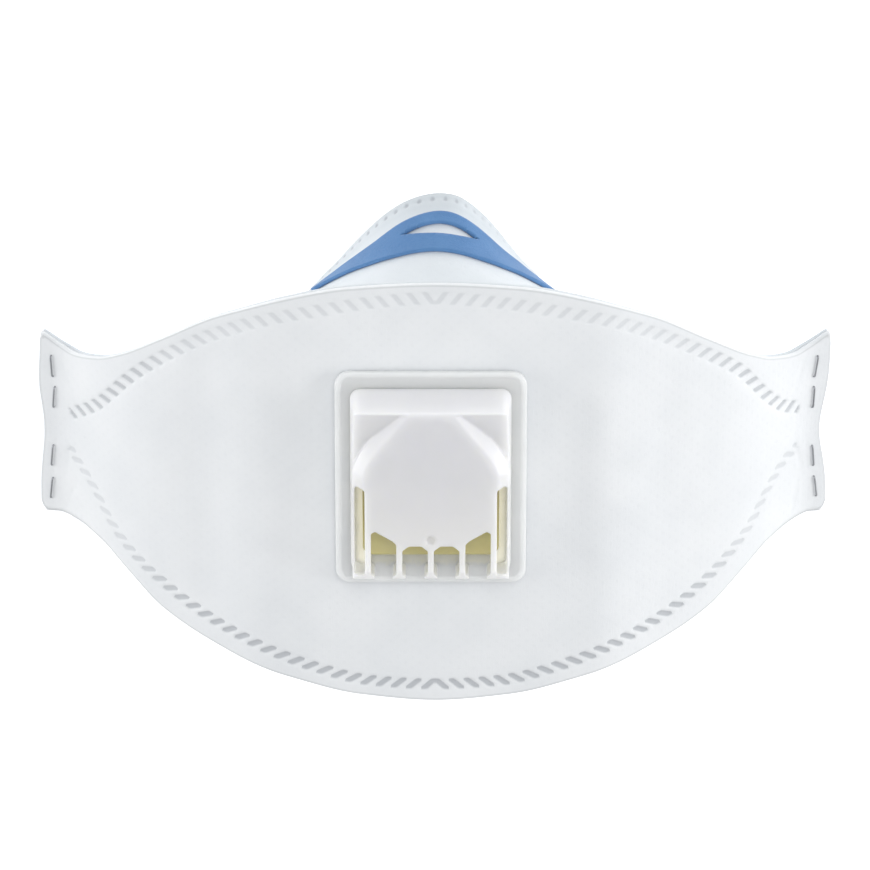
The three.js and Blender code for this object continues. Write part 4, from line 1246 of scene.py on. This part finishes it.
def elastic():
    n = Nodes("elastic_finish")
    cloth = n.field("cloth")
    rib = n.math("COSINE", n.times(cloth[1], 2 * math.pi / 0.6))
    row = n.times(cloth[0], 2 * math.pi / 0.9)
    stitch = n.math("SINE", n.math("ADD", row, n.times(rib, 0.9)))
    weave = n.line(n.times(rib, stitch), 0.5, 0.5)
    base = n.mix(weave, (0.11, 0.26, 0.52), (0.2, 0.4, 0.68))
    return n.finish(
        Base_Color=n.mix(n.times(n.noise(2400, 4), 0.35), base, (0.4, 0.56, 0.78)),
        Roughness=0.85, Normal=n.bump(weave, 0.00016, 0.8), Sheen_Weight=0.3)


def staple_wire():
    n = Nodes("staple_wire_finish")
    drawn = n.noise(900, 4, stretch=(1, 0.08, 1))
    return n.finish(
        Base_Color=n.ramp(drawn, (0.3, (0.30, 0.31, 0.33)), (0.7, (0.46, 0.47, 0.49))),
        Roughness=n.line(drawn, 0.2, 0.22), Normal=n.bump(drawn, 0.00002, 0.6), Metallic=1.0)


def floor_finish():
    n = Nodes("floor_finish")
    base = n.ramp(n.noise(2.0, 2), (0.3, (0.93, 0.93, 0.93)), (0.7, (0.94, 0.94, 0.94)))
    return n.finish(
        Base_Color=base, Roughness=0.9, Emission_Color=(1, 1, 1, 1), Emission_Strength=FLOOR_GLOW)


# ---- studio ----

VIEW_TILT = 22                    # the camera looks down from the nose side
VIEW_DISTANCE = 1000.0            # from the camera to the plane that the picture is scaled on
VIEW_PLANE = (-5.1, 20.0)         # that plane's picture height and distance, in the tilted frame
PIXELS = 870
PIXELS_PER_MM = 4.56
SENSOR = 36
LIGHTS = [                        # name, place and size in metres, power; all face the mask
    ("right", (1.5, 0.1, 0.55), 0.8, 9.2), ("left", (-1.5, 0.1, 0.45), 0.8, 7),
    ("above", (0.15, 0.85, 1.35), 0.9, 5.5),
]
FLOOR_REACH = 8.0
FLOOR_DEPTH = 0.00005             # just under the mask's lowest points
FLOOR_GLOW = 0.5
SKY_LIGHT = 0.6


def add_camera():
    camera = bpy.data.objects.new("Camera", bpy.data.cameras.new("Camera"))
    tilt = math.radians(VIEW_TILT)
    up, back = VIEW_PLANE[0], VIEW_PLANE[1] + VIEW_DISTANCE
    place = np.array([
        0, up * math.cos(tilt) + back * math.sin(tilt), -up * math.sin(tilt) + back * math.cos(tilt),
    ])
    camera.location = to_frame(place).tolist()
    camera.rotation_euler = (-tilt, 0, 0)
    camera.data.sensor_width = SENSOR
    camera.data.lens = SENSOR * PIXELS_PER_MM * VIEW_DISTANCE / PIXELS
    camera.data.clip_start = 0.01
    camera.data.clip_end = 20
    bpy.context.scene.collection.objects.link(camera)
    bpy.context.scene.camera = camera


def add_area_light(name, location, size, power):
    light = bpy.data.lights.new(name, "AREA")
    light.shape = "DISK"
    light.size = size
    light.energy = power
    obj = bpy.data.objects.new(name, light)
    obj.location = location
    aim = Vector((0, 0, 0.02)) - Vector(location)
    obj.rotation_euler = aim.to_track_quat("-Z", "Y").to_euler()
    bpy.context.scene.collection.objects.link(obj)


def add_studio():
    world = bpy.data.worlds.new("World")
    world.use_nodes = True
    background = world.node_tree.nodes["Background"]
    background.inputs["Color"].default_value = (0.98, 0.99, 1.0, 1)
    background.inputs["Strength"].default_value = SKY_LIGHT
    bpy.context.scene.world = world
    for light in LIGHTS:
        add_area_light(*light)
    floor = bpy.data.meshes.new("floor")
    reach = FLOOR_REACH
    corners = [(-reach, -reach, 0), (reach, -reach, 0), (reach, reach, 0), (-reach, reach, 0)]
    floor.from_pydata(corners, [], [(0, 1, 2, 3)])
    floor.materials.append(floor_finish())
    obj = bpy.data.objects.new("floor", floor)
    obj.location = (0, 0, -FLOOR_DEPTH)
    bpy.context.scene.collection.objects.link(obj)
    bpy.context.scene.view_settings.view_transform = "Standard"


# ---- assembly ----

def finish_piece(piece, node, material):
    piece.data.materials.clear()
    piece.data.materials.append(material)
    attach(piece, "root")
    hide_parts(node)
    return piece


def assemble():
    front = finish_piece(
        make_center_panel(), "center_panel", nonwoven("nonwoven_welded", "seams"))
    nose = finish_piece(
        make_nose_panel(), "nose_panel", nonwoven("nonwoven_hemmed_and_shaded", "hem_and_shade"))
    chin = finish_piece(make_chin_panel(), "chin_panel", nonwoven("nonwoven_plain"))
    finish_piece(make_nose_clip(), "nose_clip", clip_foam())
    bands = elastic()
    for name, node, route in (
        ("upper_strap", "headband_upper", UPPER_ROUTE), ("lower_strap", "headband_lower", LOWER_ROUTE),
    ):
        strap = finish_piece(make_headband(name, route), node, bands)
    wire = staple_wire()
    for side, name, x, y, turn in STAPLES:
        made = make_staple(f"wire_{name}", side * x, y, turn)
        finish_piece(made, f"staple_{name}", wire)
    base = moulded("valve_base", "flange_shell", voxel=0.25, rounds=2, ratio=0.3)
    finish_piece(base, "valve_base", flange_plastic())
    cover = moulded("valve_cover", "cover_shell", voxel=0.22, rounds=6, ratio=0.35)
    finish_piece(cover, "valve_cover", cover_plastic())
    finish_piece(make_flap(), "valve_flap", flap_rubber())


assemble()
add_camera()
add_studio()
